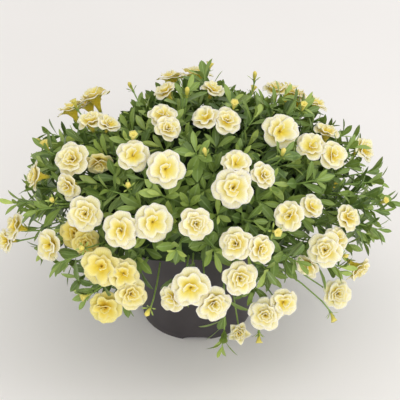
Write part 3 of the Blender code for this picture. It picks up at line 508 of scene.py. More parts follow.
def outer_corolla(heap, place, outer, size, sway, lift, star, dice, tint):
    """The funnel and the five broad lobes of the outer flower."""
    length = FUNNEL_LENGTH * min(size, 1.0)
    throat = THROAT * size
    sharp, deep = STAR_NOTCH if star else ROUND_NOTCH
    p1, p2 = dice.uniform(0, 6), dice.uniform(0, 6)
    points, marks, backs = [], [], []
    # each ring of the funnel: how far down, its radius in millimetres and how green it is
    funnel = [(1.0, 1.3, 0.9), (0.75, 1.8 * size, 0.35), (0.5, 3.0 * size, 0.0)]
    for down, r, green in funnel:
        for c in range(ROUND):
            angle = 2 * math.pi * c / ROUND
            ridge = r * MM * (1 + 0.07 * math.cos(LOBES * angle))
            x, y = ridge * math.cos(angle), ridge * math.sin(angle)
            points.append(place @ Vector((x, y, -length * down)))
            marks.append((0.16, c / ROUND, 0.6, green))
            backs.append(marks[-1])
    for ring in range(LIMB_RINGS):
        t = ring / (LIMB_RINGS - 1)
        for c in range(ROUND):
            angle = 2 * math.pi * c / ROUND
            notch = abs(math.sin(angle * LOBES / 2)) ** sharp
            rim = outer * (1.01 + between(sway, angle) * 1.3 - deep * notch)
            rim *= 1 + 0.012 * math.sin(13 * angle + p2)
            r = throat + (rim - throat) * t
            # the limb opens flat out of the throat and droops at its rim, and then come its waves
            z = -THROAT_DEPTH + 6.9 * MM * t**0.5 - 2.6 * MM * t**3 * size
            z += 1.7 * between(lift, angle) * t * t + 1.6 * MM * notch * t**1.5 * size
            z += (1.1 * math.sin(3 * angle + p1) + 0.35 * math.sin(8 * angle + p2)) * MM * t**2 * size
            points.append(place @ Vector((r * math.cos(angle), r * math.sin(angle), z)))
            marks.append((0.25 + 0.75 * t**1.3, c / ROUND, tint, 0.0))
            backs.append((0.22 + 0.45 * t, c / ROUND, 0.8, 0.0))
    heap.add(points, marks, grid_faces(len(funnel) + LIMB_RINGS, ROUND, True), 0, backs)


# %% Inner flower
EYE_DEPTH = -2.4 * MM
EYE_RADIUS = 0.4 * MM
INNER_RINGS = 11
CREST_START = 0.72


def inner_corolla(heap, place, outer, size, sway, lift, turn, dice, tint):
    """The raised and ruffled flower inside, from the eye to its wavy crest."""
    p1, p2 = dice.uniform(0, 6), dice.uniform(0, 6)
    points, marks, backs = [], [], []
    for ring in range(INNER_RINGS):
        t = ring / (INNER_RINGS - 1)
        for c in range(ROUND):
            angle = 2 * math.pi * c / ROUND
            notch = abs(math.cos(angle * LOBES / 2)) ** 6
            crest = outer * (0.78 + between(sway, angle) * 2.0 - 0.17 * notch)
            crest *= 1 + (0.07 * math.sin(angle + p1) + 0.04 * math.sin(7 * angle + p2)) * t
            r = EYE_RADIUS + (crest - EYE_RADIUS) * t**0.9
            top = 5.4 * MM * size + 1.6 * between(lift, angle) - 1.6 * MM * notch * size
            top += 1.3 * MM * math.sin(angle + p2) * size
            # it rises from the eye and curls over at its crest
            z = EYE_DEPTH + (top - EYE_DEPTH) * t**1.35
            z -= 2.4 * MM * (max(t - CREST_START, 0) / (1 - CREST_START)) ** 1.6 * size
            z += (1.0 * math.sin(8 * angle + p1) + 0.7 * math.sin(3 * angle + p2)) * MM * t**2 * size
            a = angle + turn
            points.append(place @ Vector((r * math.cos(a), r * math.sin(a), z)))
            marks.append((0.02 + 0.98 * t**1.25, c / ROUND, tint, 0.0))
            backs.append((0.35 + 0.55 * t, c / ROUND, 0.4, 0.0))
    heap.add(points, marks, grid_faces(INNER_RINGS, ROUND, True), 0, backs)


# %% Rolled heart and whole bloom
NEARER = 0.95  # a bloom stands nearer than the dome's middle, so it looks larger than it is
RIBBON_ROWS = 7
RIBBON_STEPS = 34
# the turns of the rolled petal, and how slim the roll is across
HEARTS = ((0.8, 0.7), (1.3, 0.6), (1.7, 0.8), (2.1, 1.0), (2.4, 0.9))


def heart_ribbon(heap, place, outer, size, turns, slim, dice, tint):
    """The rolled petal of the heart: one wavy ribbon that winds out from the eye like a rose."""
    rows, columns = RIBBON_ROWS, int(RIBBON_STEPS * turns)
    start, p1, p2 = dice.uniform(0, 6), dice.uniform(0, 6), dice.uniform(0, 6)
    lean = dice.uniform(0, 3)
    off_x, off_y = dice.uniform(-0.08, 0.08) * outer, dice.uniform(-0.08, 0.08) * outer
    points, marks = [], []
    for i in range(rows):
        t = i / (rows - 1)
        for c in range(columns):
            along = c / (columns - 1)
            angle = start + 2 * math.pi * turns * along
            ends = min(1, 5 * along + 0.3, 5 * (1 - along) + 0.15)
            top = outer * (0.09 + 0.47 * along**0.9) * (1 + 0.13 * math.sin(3 * angle + p1))
            r = top * (0.22 + 0.78 * t**1.2) + 0.5 * MM * math.sin(7 * angle + p2) * t
            rise = (7.2 - 1.6 * along) * MM * size * ends
            z = EYE_DEPTH + (rise - EYE_DEPTH) * t**0.85
            z += (0.8 * math.sin(2 * angle + p2) + 0.4 * math.sin(9 * angle + p1)) * MM * t * size
            x, y = r * math.cos(angle - lean), r * math.sin(angle - lean) * slim
            turned_x = x * math.cos(lean) - y * math.sin(lean) + off_x * t
            turned_y = x * math.sin(lean) + y * math.cos(lean) + off_y * t
            points.append(place @ Vector((turned_x, turned_y, z)))
            marks.append((0.10 + 0.80 * t**1.6, angle / 6.3, tint, 0.0))
    heap.add(points, marks, grid_faces(rows, columns, False))


def double_bloom(heap, point, axis, width, seed, tint, star=False):
    """All the sheets of one double bloom."""
    dice = random.Random(seed)
    size = width / BLOOM_WIDTH
    outer = width / 2 * NEARER
    sway = [dice.uniform(-0.05, 0.05) for _ in range(2 * LOBES)]
    lift = [dice.uniform(-0.9, 0.9) * MM for _ in range(2 * LOBES)]
    turn = dice.uniform(0, 0.35)
    place = facing(point, axis, dice.uniform(0, 2 * math.pi))
    outer_corolla(heap, place, outer, size, sway, lift, star, dice, tint)
    inner_corolla(heap, place, outer * (0.8 if star else 1), size, sway, lift, turn, dice, tint)
    turns, slim = dice.choice(HEARTS)
    heart_ribbon(heap, place, outer, size, turns, slim, dice, tint)


# %% [markdown]
# The sheets are then given the thickness of a real petal, so that light can soak into them. Their
# backs get marks of their own. The blooms low on the left of the plant are younger and yellower
# than the rest, which the tint shows, and the lowest one is half open, so it is shaped like a star.

# %% Make the blooms
PETAL_THICKNESS = 0.35 * MM
GOLDEN_BLOOMS = ("bloom_13", "bloom_18", "bloom_19", "bloom_20")
STAR_BLOOM = "bloom_31"
TINT_SEED = 1000


def applied(made, kind, **settings):
    """Apply a modifier to an object's mesh."""
    modifier = made.modifiers.new(kind.lower(), kind)
    for key, value in settings.items():
        setattr(modifier, key, value)
    graph = bpy.context.evaluated_depsgraph_get()
    mesh = bpy.data.meshes.new_from_object(made.evaluated_get(graph))
    made.modifiers.clear()
    made.data = mesh
    return made


def paint_backs(piece, heap):
    """Give the backs of the sheets their own marks, as petals are more golden behind."""
    half = len(heap.points)
    mark = piece.data.attributes["mark"]
    for i, four in enumerate(heap.back_marks):
        mark.data[i].color = four
        mark.data[i + half].color = heap.marks[i]


bloom_trees = []
triangles = 0
for n, (name, blooms) in enumerate(places.items()):
    heap = Heap()
    for k, (point, axis, width) in enumerate(blooms):
        colours = random.Random(TINT_SEED + 100 * n + k)
        golden = 0.6 if name in GOLDEN_BLOOMS else 0.12
        tint = golden * colours.uniform(0.5, 1.2)
        double_bloom(heap, point, axis, width, 100 * n + k, tint, name == STAR_BLOOM)
    piece = heap.object(name.replace("bloom", "petals"), [petal])
    bloom_trees.append(BVHTree.FromPolygons(heap.points, heap.faces))
    applied(piece, "SOLIDIFY", thickness=PETAL_THICKNESS, offset=0.0)
    paint_backs(piece, heap)
    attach(piece, "root")
    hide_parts(name)
    triangles += 2 * len(piece.data.polygons)
print("bloom pieces:", len(places), "triangles:", triangles)

# %% [markdown]
# ## Leafy stems
#
# The bush is thirteen leafy stems. Each rises from the soil, branches into shoots, and carries
# leaves that wind round each shoot by 137.5 degrees a step, the turn that most plants use. Low
# leaves are long, dark and wide open. Those at the tip are short, bright and still folded up. A
# leaf is a small sheet of its own: narrow at its root, widest past the middle, folded along its rib
# and bent down at its tip.

# %% Thirteen stems
STEMS = [(bearing, 60, 10 * MM) for bearing in (20, 140, 260)]
STEMS += [(bearing, 24, 27 * MM) for bearing in range(0, 360, 72)]
STEMS += [(bearing, -8, 42 * MM) for bearing in range(36, 360, 72)]
STEM_DIRECTIONS = [to_ball(on_dome(bearing, latitude, 1)) for bearing, latitude, _ in STEMS]


def nearest_stem(point):
    """The number of the leafy stem whose share of the dome holds a point."""
    d = to_ball(point).normalized()
    return max(range(len(STEMS)), key=lambda i: d.dot(STEM_DIRECTIONS[i]))


print("leafy stems:", len(STEMS))

# %% Leaf sheet
LEAF_STATIONS = (0.16, 0.36, 0.56, 0.74, 0.89)
LEAF_HALF_WIDTHS = (0.30, 0.66, 0.96, 0.92, 0.55)


def leaf_sheet(root, along, up, length, width, fold, bend):
    """The points and faces of one leaf, with its root at a point and its upper side to up."""
    side = along.cross(up).normalized()
    up = side.cross(along).normalized()

    def at(s, across):
        rise = fold * abs(across) - bend * length * s * s
        return root + along * (s * length) + side * across + up * rise

    points = [at(0, 0)]
    coordinates = [(0, 0)]
    for s, wide in zip(LEAF_STATIONS, LEAF_HALF_WIDTHS):
        half = wide * width / 2
        points += [at(s, -half), at(s, 0), at(s, half)]
        coordinates += [(s, 1), (s, 0), (s, 1)]
    points.append(at(1, 0))
    coordinates.append((1, 0))
    last = len(points) - 1
    faces = [(0, 2, 1), (0, 3, 2)]
    for i in range(len(LEAF_STATIONS) - 1):
        a = 1 + 3 * i
        faces += [(a, a + 1, a + 4, a + 3), (a + 1, a + 2, a + 5, a + 4)]
    faces += [(last - 3, last - 2, last), (last - 2, last - 1, last)]
    return points, coordinates, faces


def tube_points(path, radii, sides):
    """A tapered tube along a path."""
    points = []
    for i, point in enumerate(path):
        before, after = path[max(i - 1, 0)], path[min(i + 1, len(path) - 1)]
        across = facing(point, (after - before).normalized(), 0)
        for c in range(sides):
            a = 2 * math.pi * c / sides
            points.append(across @ Vector((radii[i] * math.cos(a), radii[i] * math.sin(a), 0)))
    return points


def arc(start, bend, end, share):
    """A point on the curve from a start to an end that leans towards a bend."""
    rest = 1 - share
    return start * rest * rest + bend * 2 * rest * share + end * share * share


# %% [markdown]
# Each leafy stem is one heap. A leaf goes in only where it passes clear of every bloom, which a
# search tree of each bloom's faces tells. Where it doesn't, it is turned a step or two further
# round its shoot, and left out when that fails too. No leaf stands right before the face of a
# bloom, because a plant turns its blooms out into the light.

# %% Room for a leaf
CLEAR_AHEAD = 45 * MM
CLEAR_ROUND = 0.46


def misses_blooms(points, faces):
    """Whether a sheet crosses no bloom."""
    sheet = BVHTree.FromPolygons(points, faces)
    return not any(sheet.overlap(tree) for tree in bloom_trees)


def hides_bloom(tip):
    """Whether a leaf's tip stands right in front of a bloom, where none does on the plant."""
    for blooms in places.values():
        for point, axis, width in blooms:
            away = tip - point
            ahead = away.dot(axis)
            beside = (away - axis * ahead).length
            if 0 < ahead < CLEAR_AHEAD and beside < width * CLEAR_ROUND:
                return True
    return False


# %% Growing
TURN_OF_LEAVES = math.radians(137.5)
SHOOT_ARCH = 0.93
SHOOT_RADIUS = 0.85 * MM
GREEN_LEAF, GREEN_SHOOT, SHADE, WOOD, BUD = range(5)
stems = [Heap() for _ in STEMS]


def grow_leaf(heap, root, ahead, turn, opening, length, width, youth, shade_of, dice):
    """One leaf on a shoot, turned until it crosses no bloom."""
    for tried in range(3):
        side = facing(root, ahead, turn + tried * TURN_OF_LEAVES).to_3x3() @ Vector((1, 0, 0))
        along = (ahead * math.cos(opening) + side * math.sin(opening)).normalized()
        up = ahead * math.sin(opening) - side * math.cos(opening)
        fold, bend = dice.uniform(0.15, 0.45), dice.uniform(0.0, 0.22)
        points, coordinates, faces = leaf_sheet(root, along, up, length, width, fold, bend)
        if misses_blooms(points, faces) and not hides_bloom(points[-1]):
            marks = [(s, across, shade_of, youth) for s, across in coordinates]
            heap.add(points, marks, faces, GREEN_LEAF)
            return True
    return False


def grow_tube(heap, path, radii, sides, finish):
    """One stem, stalk or shoot."""
    points = tube_points(path, radii, sides)
    marks = [(0.5, 0.5, 0.5, 0.5)] * len(points)
    heap.add(points, marks, grid_faces(len(path), sides, True), finish)


def grow_shoot(tip, reach_start, leaves, dice):
    """A shoot from inside the bush to a tip, with leaves that wind up it."""
    number = nearest_stem(tip)
    heap = stems[number]
    d = to_ball(tip)
    inner = (d.normalized() * 0.75 + STEM_DIRECTIONS[number] * 0.25).normalized()
    start = from_ball(inner * reach_start)
    bend = from_ball(to_ball(start.lerp(tip, 0.6)).normalized() * d.length * SHOOT_ARCH)
    path = [arc(start, bend, tip, s) for s in (0, 0.33, 0.67, 1)]
    grow_tube(heap, path, [SHOOT_RADIUS * k for k in (1.2, 1, 0.8, 0.5)], 5, GREEN_SHOOT)
    turn = dice.uniform(0, 6)
    tone = dice.uniform(0.0, 0.8)
    freshness = dice.choice((0.15, 0.3, 1.0))
    grown = 0
    for k in range(leaves):
        share = 0.12 + 0.88 * (k / (leaves - 1)) ** 0.85
        root = arc(start, bend, tip, share)
        ahead = (arc(start, bend, tip, min(share + 0.05, 1.05)) - root).normalized()
        # from wide open, long and dark at the foot to folded up, short and fresh at the tip
        opening = math.radians(74 - 40 * share + dice.uniform(-10, 10))
        length = (24 - 9 * share**3) * MM * dice.uniform(0.8, 1.15)
        width = length * (dice.uniform(0.31, 0.42) - 0.07 * share**4)
        youth = max(0, share - 0.62) / 0.38 * dice.uniform(0.4, 1.0) * freshness
        level = min(1, max(0, tone * 0.6 + share * 0.4 + dice.uniform(-0.15, 0.15)))
        grown += grow_leaf(
            heap, root, ahead, turn + TURN_OF_LEAVES * k, opening, length, width, youth, level, dice
        )
    return grown


# %% [markdown]
# The shoots come in three groups: those that stand out of the dome where the photograph shows leaf
# tufts against the background, those at the back of the solid model, and many more on a golden
# spiral over the whole dome, which fill the bush. Under a bloom the spiral shoots stay lower, and
# they thin out before the pot and at the skirts. Their tips are pulled in until they stay within
# the plant's outline in the photograph, which two rough lines give, one above and one below.

# %% Lists of shoots
# places in the picture, across and down, and then places by bearing and latitude, with the reach
OUTER_SHOOTS = [
    (377, 229, 1.04),
    (380, 211, 1.04),
    (376, 196, 1.02),
    (17, 203, 1.03),
    (222, 346, 0.93),
    (204, 76, 1.04),
    (186, 92, 1.02),
    (284, 96, 1.03),
    (301, 106, 1.02),
    (46, 150, 1.02),
    (60, 262, 1.02),
    (88, 296, 1.02),
]
BACK_SHOOTS = [
    (184, 22, 1.00),
    (200, 10, 0.98),
    (154, 4, 1.00),
    (200, -16, 0.98),
    (158, -22, 1.00),
    (236, 12, 1.00),
]
print("shoots by place:", len(OUTER_SHOOTS) + len(BACK_SHOOTS))

# %% Outline in the picture
# the corners of the two rough lines, across and down
SKYLINE = [
    (0, 196),
    (22, 200),
    (45, 146),
    (62, 140),
    (85, 122),
    (122, 124),
    (148, 102),
    (168, 84),
    (205, 70),
    (222, 88),
    (242, 94),
    (268, 90),
    (300, 92),
    (318, 120),
    (345, 124),
    (368, 146),
    (380, 176),
    (400, 200),
]
UNDERLINE = [
    (0, 246),
    (30, 258),
    (62, 272),
    (90, 300),
    (142, 316),
    (150, 330),
    (240, 330),
    (256, 300),
    (280, 272),
    (345, 282),
    (372, 262),
    (400, 240),
]
TIP_MARGIN = 8


def in_picture(point):
    """Where a point shows in the 400 by 400 picture: across and down."""
    away = point - camera.location
    scale = VIEW_DISTANCE / PICTURE_PIXEL / -away.dot(VIEW_BACK)
    across = PICTURE_MIDDLE + away.dot(VIEW_RIGHT) * scale
    return across, PICTURE_MIDDLE - away.dot(VIEW_UP) * scale


def along_line(line, across):
    """The height in the picture of a line given by its corners."""
    for (x0, y0), (x1, y1) in zip(line, line[1:]):
        if across <= x1:
            return y0 + (y1 - y0) * max(across - x0, 0) / (x1 - x0)
    return line[-1][1]


def inside_outline(point):
    """Whether a shoot's tip stays within the plant's outline in the photograph."""
    across, down = in_picture(point)
    over = down > along_line(SKYLINE, across) + TIP_MARGIN
    under = down < along_line(UNDERLINE, across) - TIP_MARGIN
    return over and under and TIP_MARGIN < across < 2 * PICTURE_MIDDLE - TIP_MARGIN


print("corners of the outline:", len(SKYLINE) + len(UNDERLINE))

# %% Grow the shoots
SPIRAL_SHOOTS = 290
SPIRAL_LEVELS = (-0.42, 0.99)
GOLDEN_TURN = math.pi * (3 - math.sqrt(5))
NEAR_BLOOM = 0.16
BARE_FRONT, BARE_KEEP = 0.26, 0.25
SKIRT_TOP, SKIRT_KEEP = 0.12, 0.55
LEAST_REACH, PULL_IN = 0.62, 0.03
SHOOT_SEED, SHOOT_LEAVES, SPIRAL_LEAVES = 41, 13, 11
dice = random.Random(SHOOT_SEED)
bloom_balls = [to_ball(point).normalized() for blooms in places.values() for point, _, _ in blooms]
grown = 0
for across, down, reach in OUTER_SHOOTS:
    grown += grow_shoot(seen_at(across, down, reach), 0.55, SHOOT_LEAVES, dice)
for bearing, latitude, reach in BACK_SHOOTS:
    grown += grow_shoot(on_dome(bearing, latitude, reach), 0.55, SHOOT_LEAVES, dice)
for i in range(SPIRAL_SHOOTS):
    low, high = SPIRAL_LEVELS
    level = low + (high - low) * (i + 0.5) / SPIRAL_SHOOTS
    around = GOLDEN_TURN * i
    flat = math.sqrt(1 - level * level)
    d = Vector((flat * math.cos(around), flat * math.sin(around), level))
    near = min((d - b).length for b in bloom_balls)
    far_out = dice.uniform(0.84, 1.0) if near > NEAR_BLOOM else dice.uniform(0.74, 0.86)
    before_pot = abs(d.x) < 0.45 and d.y < 0 and level < BARE_FRONT
    if before_pot and dice.random() > BARE_KEEP:
        continue
    skirt = abs(d.x) > 0.62 and level < SKIRT_TOP
    if skirt and dice.random() > SKIRT_KEEP:
        continue
    while far_out > LEAST_REACH and not inside_outline(from_ball(d * far_out)):
        far_out -= PULL_IN
    if far_out > LEAST_REACH:
        foot = min(0.50, far_out - 0.25)
        grown += grow_shoot(from_ball(d * far_out), foot, SPIRAL_LEAVES, dice)
print("leaves:", grown)

# %% [markdown]
# ## Hearts, feet and stalks
#
# Deep in the bush the leaves are so dense that hardly any light comes back out. A dark rough body
# of painted shade in each leafy stem stands in for them, well under the real leaves. Each stem's
# woody foot goes down into its hole in the soil. Each bloom hangs on a thin stalk that ends in a
# calyx: a small green cup with five narrow spreading sepals. Buds, closed or just opening, stand on
# stalks of their own.

# %% Hearts and feet
POT_HEIGHT = 110 * MM
SOIL_TOP = 100 * MM
HEART_MIDDLE = 0.42
HEART_REACH = 0.60
HEART_HALF = Vector((46 * MM, 46 * MM, 30 * MM))
HEART_FLOOR = POT_HEIGHT + 1.5 * MM
FOOT_DEPTH = 10 * MM
HEART_SEED = 500


def heart(heap, number, dice):
    """A rough closed body of painted shade round a stem's middle, between the pot and the outer leaves.
    """
    centre = from_ball(STEM_DIRECTIONS[number] * HEART_MIDDLE)
    centre.z = max(centre.z, POT_HEIGHT + 12 * MM)
    shape = bmesh.new()
    bmesh.ops.create_icosphere(shape, subdivisions=3, radius=1.0)
    points = []
    for vert in shape.verts:
        place = centre + vert.co * HEART_HALF * dice.uniform(0.86, 1.08)
        place.z = max(place.z, HEART_FLOOR)
        d = to_ball(place)
        if d.length > HEART_REACH:
            place = from_ball(d.normalized() * HEART_REACH * dice.uniform(0.94, 1.0))
            place.z = max(place.z, HEART_FLOOR)
        points.append(place)
    faces = [tuple(v.index for v in face.verts) for face in shape.faces]
    shape.free()
    heap.add(points, [(0.5, 0.5, 0.5, 0.5)] * len(points), faces, SHADE)
    return centre


for number, (bearing, _, out) in enumerate(STEMS):
    dice = random.Random(HEART_SEED + number)
    centre = heart(stems[number], number, dice)
    b = math.radians(bearing)
    low = Vector((out * math.sin(b), -out * math.cos(b), SOIL_TOP - FOOT_DEPTH))
    high = low + Vector((0, 0, 14 * MM))
    path = [low, high, high.lerp(centre, 0.5) + Vector((0, 0, 4 * MM)), centre]
    grow_tube(stems[number], path, [k * MM for k in (1.9, 1.8, 1.6, 1.4)], 8, WOOD)
print("hearts and feet:", len(STEMS))

# %% Lists of buds
# places in the picture with the reach, and then those at the back by bearing and latitude
BUDS = [
    (46, 146, 1.03),
    (209, 67, 1.04),
    (303, 107, 1.04),
    (283, 152, 1.02),
    (276, 232, 1.02),
    (128, 185, 1.00),
    (187, 92, 1.03),
    (133, 137, 1.02),
    (382, 202, 1.03),
    (148, 312, 1.02),
    (85, 296, 1.03),
    (82, 248, 1.02),
    (345, 256, 1.02),
    (259, 339, 1.02),
    (205, 152, 1.00),
    (52, 200, 1.02),
    (234, 105, 1.03),
    (333, 318, 1.02),
]
BACK_BUDS = [(150, 52), (205, 30), (160, 24), (240, 10), (120, 10), (195, -12), (150, -8), (250, 48)]
print("buds:", len(BUDS) + len(BACK_BUDS))

# %% Stalk, calyx and bud
SEPALS = 5
SEPAL_WIDTH = 1.7 * MM
SEPAL_LENGTH = 7.5 * MM
BUD_SIDES = 10
# the outlines of a closed and an opening bud: how far along it, and its share of the full radius
CLOSED_BUD = [(0, 0.45), (0.25, 0.62), (0.5, 0.9), (0.75, 1.0), (0.92, 0.6), (1.0, 0.1)]
OPENING_BUD = [(0, 0.5), (0.3, 0.62), (0.55, 0.85), (0.8, 1.25), (1.0, 1.7), (0.9, 0.8), (0.7, 0.1)]


def calyx(heap, end, axis, length, dice):
    """Five narrow sepals that spread round the foot of a bloom or bud."""
    turn = dice.uniform(0, 6)
    for k in range(SEPALS):
        side = facing(end, axis, turn + 2 * math.pi * k / SEPALS).to_3x3() @ Vector((1, 0, 0))
        opening = math.radians(dice.uniform(28, 55))
        along = axis * math.cos(opening) + side * math.sin(opening)
        up = axis * math.sin(opening) - side * math.cos(opening)
        root = end + side * 0.9 * MM - axis * 0.8 * MM
        points, coordinates, faces = leaf_sheet(
            root, along, up, length * dice.uniform(0.85, 1.15), SEPAL_WIDTH, 0.3, 0.15
        )
        if misses_blooms(points, faces):
            marks = [(s, across, 0.75, 0.55) for s, across in coordinates]
            heap.add(points, marks, faces, GREEN_LEAF)


def stalk(heap, end, axis, reach_start):
    """A thin stalk from inside the bush that comes in along the bloom's axis."""
    number = nearest_stem(end)
    inner = (to_ball(end).normalized() * 0.8 + STEM_DIRECTIONS[number] * 0.2).normalized()
    start = from_ball(inner * reach_start)
    bend = end - axis * 16 * MM
    path = [arc(start, bend, end, s) for s in (0, 0.35, 0.7, 0.9, 1)]
    grow_tube(heap, path, [k * MM for k in (0.8, 0.7, 0.65, 0.7, 1.5)], 6, GREEN_SHOOT)


def bud(heap, point, axis, dice):
    """An unopened flower: a slim pleated cone that is pale at its tip, in its calyx."""
    length, wide = dice.uniform(8, 11) * MM, dice.uniform(1.7, 2.3) * MM
    place = facing(point, axis, dice.uniform(0, 6))
    points, marks = [], []
    outline = dice.choice((CLOSED_BUD, OPENING_BUD))
    for s, r in outline:
        for c in range(BUD_SIDES):
            a = 2 * math.pi * c / BUD_SIDES + s * 0.9
            pleat = wide * r * (1 + 0.10 * (-1) ** c)
            points.append(place @ Vector((pleat * math.cos(a), pleat * math.sin(a), s * length)))
            marks.append((0.18 + 0.20 * s, c / BUD_SIDES, 0.1, max(0, 0.9 - 0.8 * s)))
    heap.add(points, marks, grid_faces(len(outline), BUD_SIDES, True), BUD)
    calyx(heap, point, axis, 7 * MM, dice)


# %% Put them in place
STALK_START, BUD_STALK_START = 0.55, 0.6
CALYX_GAP = 0.3 * MM
BUD_SEED = 77
dice = random.Random(BUD_SEED)
for blooms in places.values():
    for point, axis, width in blooms:
        size = min(width / BLOOM_WIDTH, 1.0)
        end = point - axis * (FUNNEL_LENGTH * size + CALYX_GAP)
        heap = stems[nearest_stem(end)]
        stalk(heap, end, axis, STALK_START)
        calyx(heap, end + axis * 0.5 * MM, axis, SEPAL_LENGTH, dice)
bud_places = [seen_at(across, down, reach) for across, down, reach in BUDS]
bud_places += [on_dome(bearing, latitude, 1.0) for bearing, latitude in BACK_BUDS]
for point in bud_places:
    wobble = Vector([dice.uniform(-0.35, 0.35) for _ in range(3)])
    axis = (out_of_dome(point) + wobble + Vector((0, 0, 0.2))).normalized()
    foot = point - axis * 5 * MM
    heap = stems[nearest_stem(foot)]
    stalk(heap, foot, axis, BUD_STALK_START)
    bud(heap, foot, axis, dice)
print("stalks:", sum(len(b) for b in places.values()), "buds:", len(bud_places))

# %% Make the leafy stems
for number, heap in enumerate(stems):
    piece = heap.object(f"greenery_{number + 1:02d}", [leaf, shoot, shade, bark, petal])
    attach(piece, "root")
    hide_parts(f"leafy_stem_{number + 1:02d}")
print("leafy stem faces:", sum(len(heap.faces) for heap in stems))

# %% [markdown]
# ## The pot
#
# The pot is injection moulded from charcoal polypropylene, the common plastic of nursery pots. The
# mould leaves a fine even grain that turns the gloss into a soft sheen. The grain is drawn coarser
# than the real one, so that it shows. The wall is a profile turned round the axis with small rounded
# corners, because moulded edges are never sharp. Its foot ring has four shallow notches, so that
# water from the four drain holes can run away. Cylinders cut both, those of the notches squashed.

# %% Pot plastic
PLASTIC_CLOUD = 25 * MM
MOULD_GRAIN = 0.55 * MM  # drawn coarser than the real grain of a tenth of a millimetre
plastic, tree, shader, cloud = mottled_finish(
    "moulded_polypropylene",
    PLASTIC_CLOUD,
    3.0,
    [(0.3, "#383334"), (0.7, "#433E3F")],
    Roughness=0.46,
    IOR=1.49,
)
place = add_node(tree, "TexCoord").outputs["Object"]
grain = add_node(tree, "TexNoise", Vector=place, Scale=1 / MOULD_GRAIN, Detail=2.0)
rough = add_node(tree, "MapRange", _0=cloud, _1=0.3, _2=0.7, _3=0.40, _4=0.54)
tree.links.new(rough.outputs[0], shader.inputs["Roughness"])
bump = add_node(tree, "Bump", Strength=0.25, Distance=0.15 * MM, Height=grain.outputs[0])
tree.links.new(bump.outputs[0], shader.inputs["Normal"])
print("pot plastic:", len(tree.nodes), "nodes")

# %% Pot body
POT_BASE, POT_RIM, POT_WALL = 51 * MM, 65 * MM, 1.5 * MM
RIM_BAND, RIM_STEP = 9 * MM, 1.6 * MM
POT_FLOOR, FOOT_HEIGHT, FOOT_WIDTH = 6 * MM, 4.5 * MM, 5 * MM
POT_STEPS = 96


def wall_radius(z):
    """The pot's outer radius below its band."""
    return POT_BASE + (POT_RIM - RIM_STEP - POT_BASE) * z / POT_HEIGHT


def turned(name, profile, steps):
    """A profile of (radius, height) turned round the axis into a mesh."""
    mesh = bpy.data.meshes.new(name)
    edges = [(i, i + 1) for i in range(len(profile) - 1)]
    mesh.from_pydata([(r, 0, z) for r, z in profile], edges, [])
    made = bpy.data.objects.new(name, mesh)
    bpy.context.scene.collection.objects.link(made)
    applied(
        made, "SCREW", steps=steps, render_steps=steps, use_merge_vertices=True, merge_threshold=5e-5
    )
    return made


band = POT_HEIGHT - RIM_BAND
pot_profile = [
    (0, POT_FLOOR),
    (wall_radius(POT_FLOOR) - POT_WALL - 2 * MM, POT_FLOOR),
    (wall_radius(POT_FLOOR) - POT_WALL, POT_FLOOR + 2 * MM),
    (wall_radius(band) - POT_WALL, band),
    (POT_RIM - 2 * POT_WALL, POT_HEIGHT - 0.5 * MM),
    (POT_RIM - 1.6 * POT_WALL, POT_HEIGHT),
    (POT_RIM - 0.5 * MM, POT_HEIGHT),
    (POT_RIM, POT_HEIGHT - 0.6 * MM),
    (POT_RIM, band + 0.5 * MM),
    (POT_RIM - 0.4 * MM, band),
    (wall_radius(band) + 0.3 * MM, band - RIM_STEP + 0.4 * MM),
    (wall_radius(band), band - RIM_STEP - 0.4 * MM),
    (wall_radius(7 * MM), 7 * MM),
    (wall_radius(1.2 * MM), 1.2 * MM),
    (POT_BASE - 0.8 * MM, 0),
    (POT_BASE - FOOT_WIDTH + 0.5 * MM, 0),
    (POT_BASE - FOOT_WIDTH, 0.5 * MM),
    (POT_BASE - FOOT_WIDTH, FOOT_HEIGHT),
    (0, FOOT_HEIGHT),
]
pot = turned("nursery_pot", pot_profile, POT_STEPS)
shape = bmesh.new()
shape.from_mesh(pot.data)
bmesh.ops.recalc_face_normals(shape, faces=shape.faces)
shape.to_mesh(pot.data)
shape.free()
print("turned pot faces:", len(pot.data.polygons))

# %% Notches and drain holes
QUARTERS = 4
NOTCH = (8.4 * MM, 26 * MM, 12 * MM)
DRAIN = (8 * MM, 8 * MM, 24 * MM)
DRAIN_OUT = 28 * MM
SHARP_EDGE = math.radians(35)


def cut_round(piece, size, place, turn, sides):
    """Cut a hole with a cylinder of a size, squashed where its two widths differ."""
    bpy.ops.mesh.primitive_cylinder_add(vertices=sides, radius=0.5, depth=1, location=place)
    cutter = bpy.context.object
    cutter.scale = size
    cutter.rotation_euler = turn
    bpy.context.view_layer.update()
    applied(piece, "BOOLEAN", operation="DIFFERENCE", object=cutter, solver="EXACT")
    bpy.data.objects.remove(cutter, do_unlink=True)


for i in range(QUARTERS):
    a = 2 * math.pi * i / QUARTERS
    cut_round(pot, NOTCH, (POT_BASE * math.cos(a), POT_BASE * math.sin(a), 0), (0, math.pi / 2, a), 48)
for i in range(QUARTERS):
    a = 2 * math.pi * (i + 0.5) / QUARTERS
    cut_round(pot, DRAIN, (DRAIN_OUT * math.cos(a), DRAIN_OUT * math.sin(a), 5 * MM), (0, 0, 0), 32)
pot.data.materials.clear()
pot.data.materials.append(plastic)
pot.data.polygons.foreach_set("use_smooth", [True] * len(pot.data.polygons))
applied(pot, "EDGE_SPLIT", split_angle=SHARP_EDGE)
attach(pot, "root")
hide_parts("pot")
print("pot faces:", len(pot.data.polygons))

# %% [markdown]
# ## The compost
#
# Potting compost is peat fibre and fine bark: a dark brown, matt, crumbly surface. It is a turned
# body like the solid, a little domed, and seeded draws push its top up and down into crumbs.

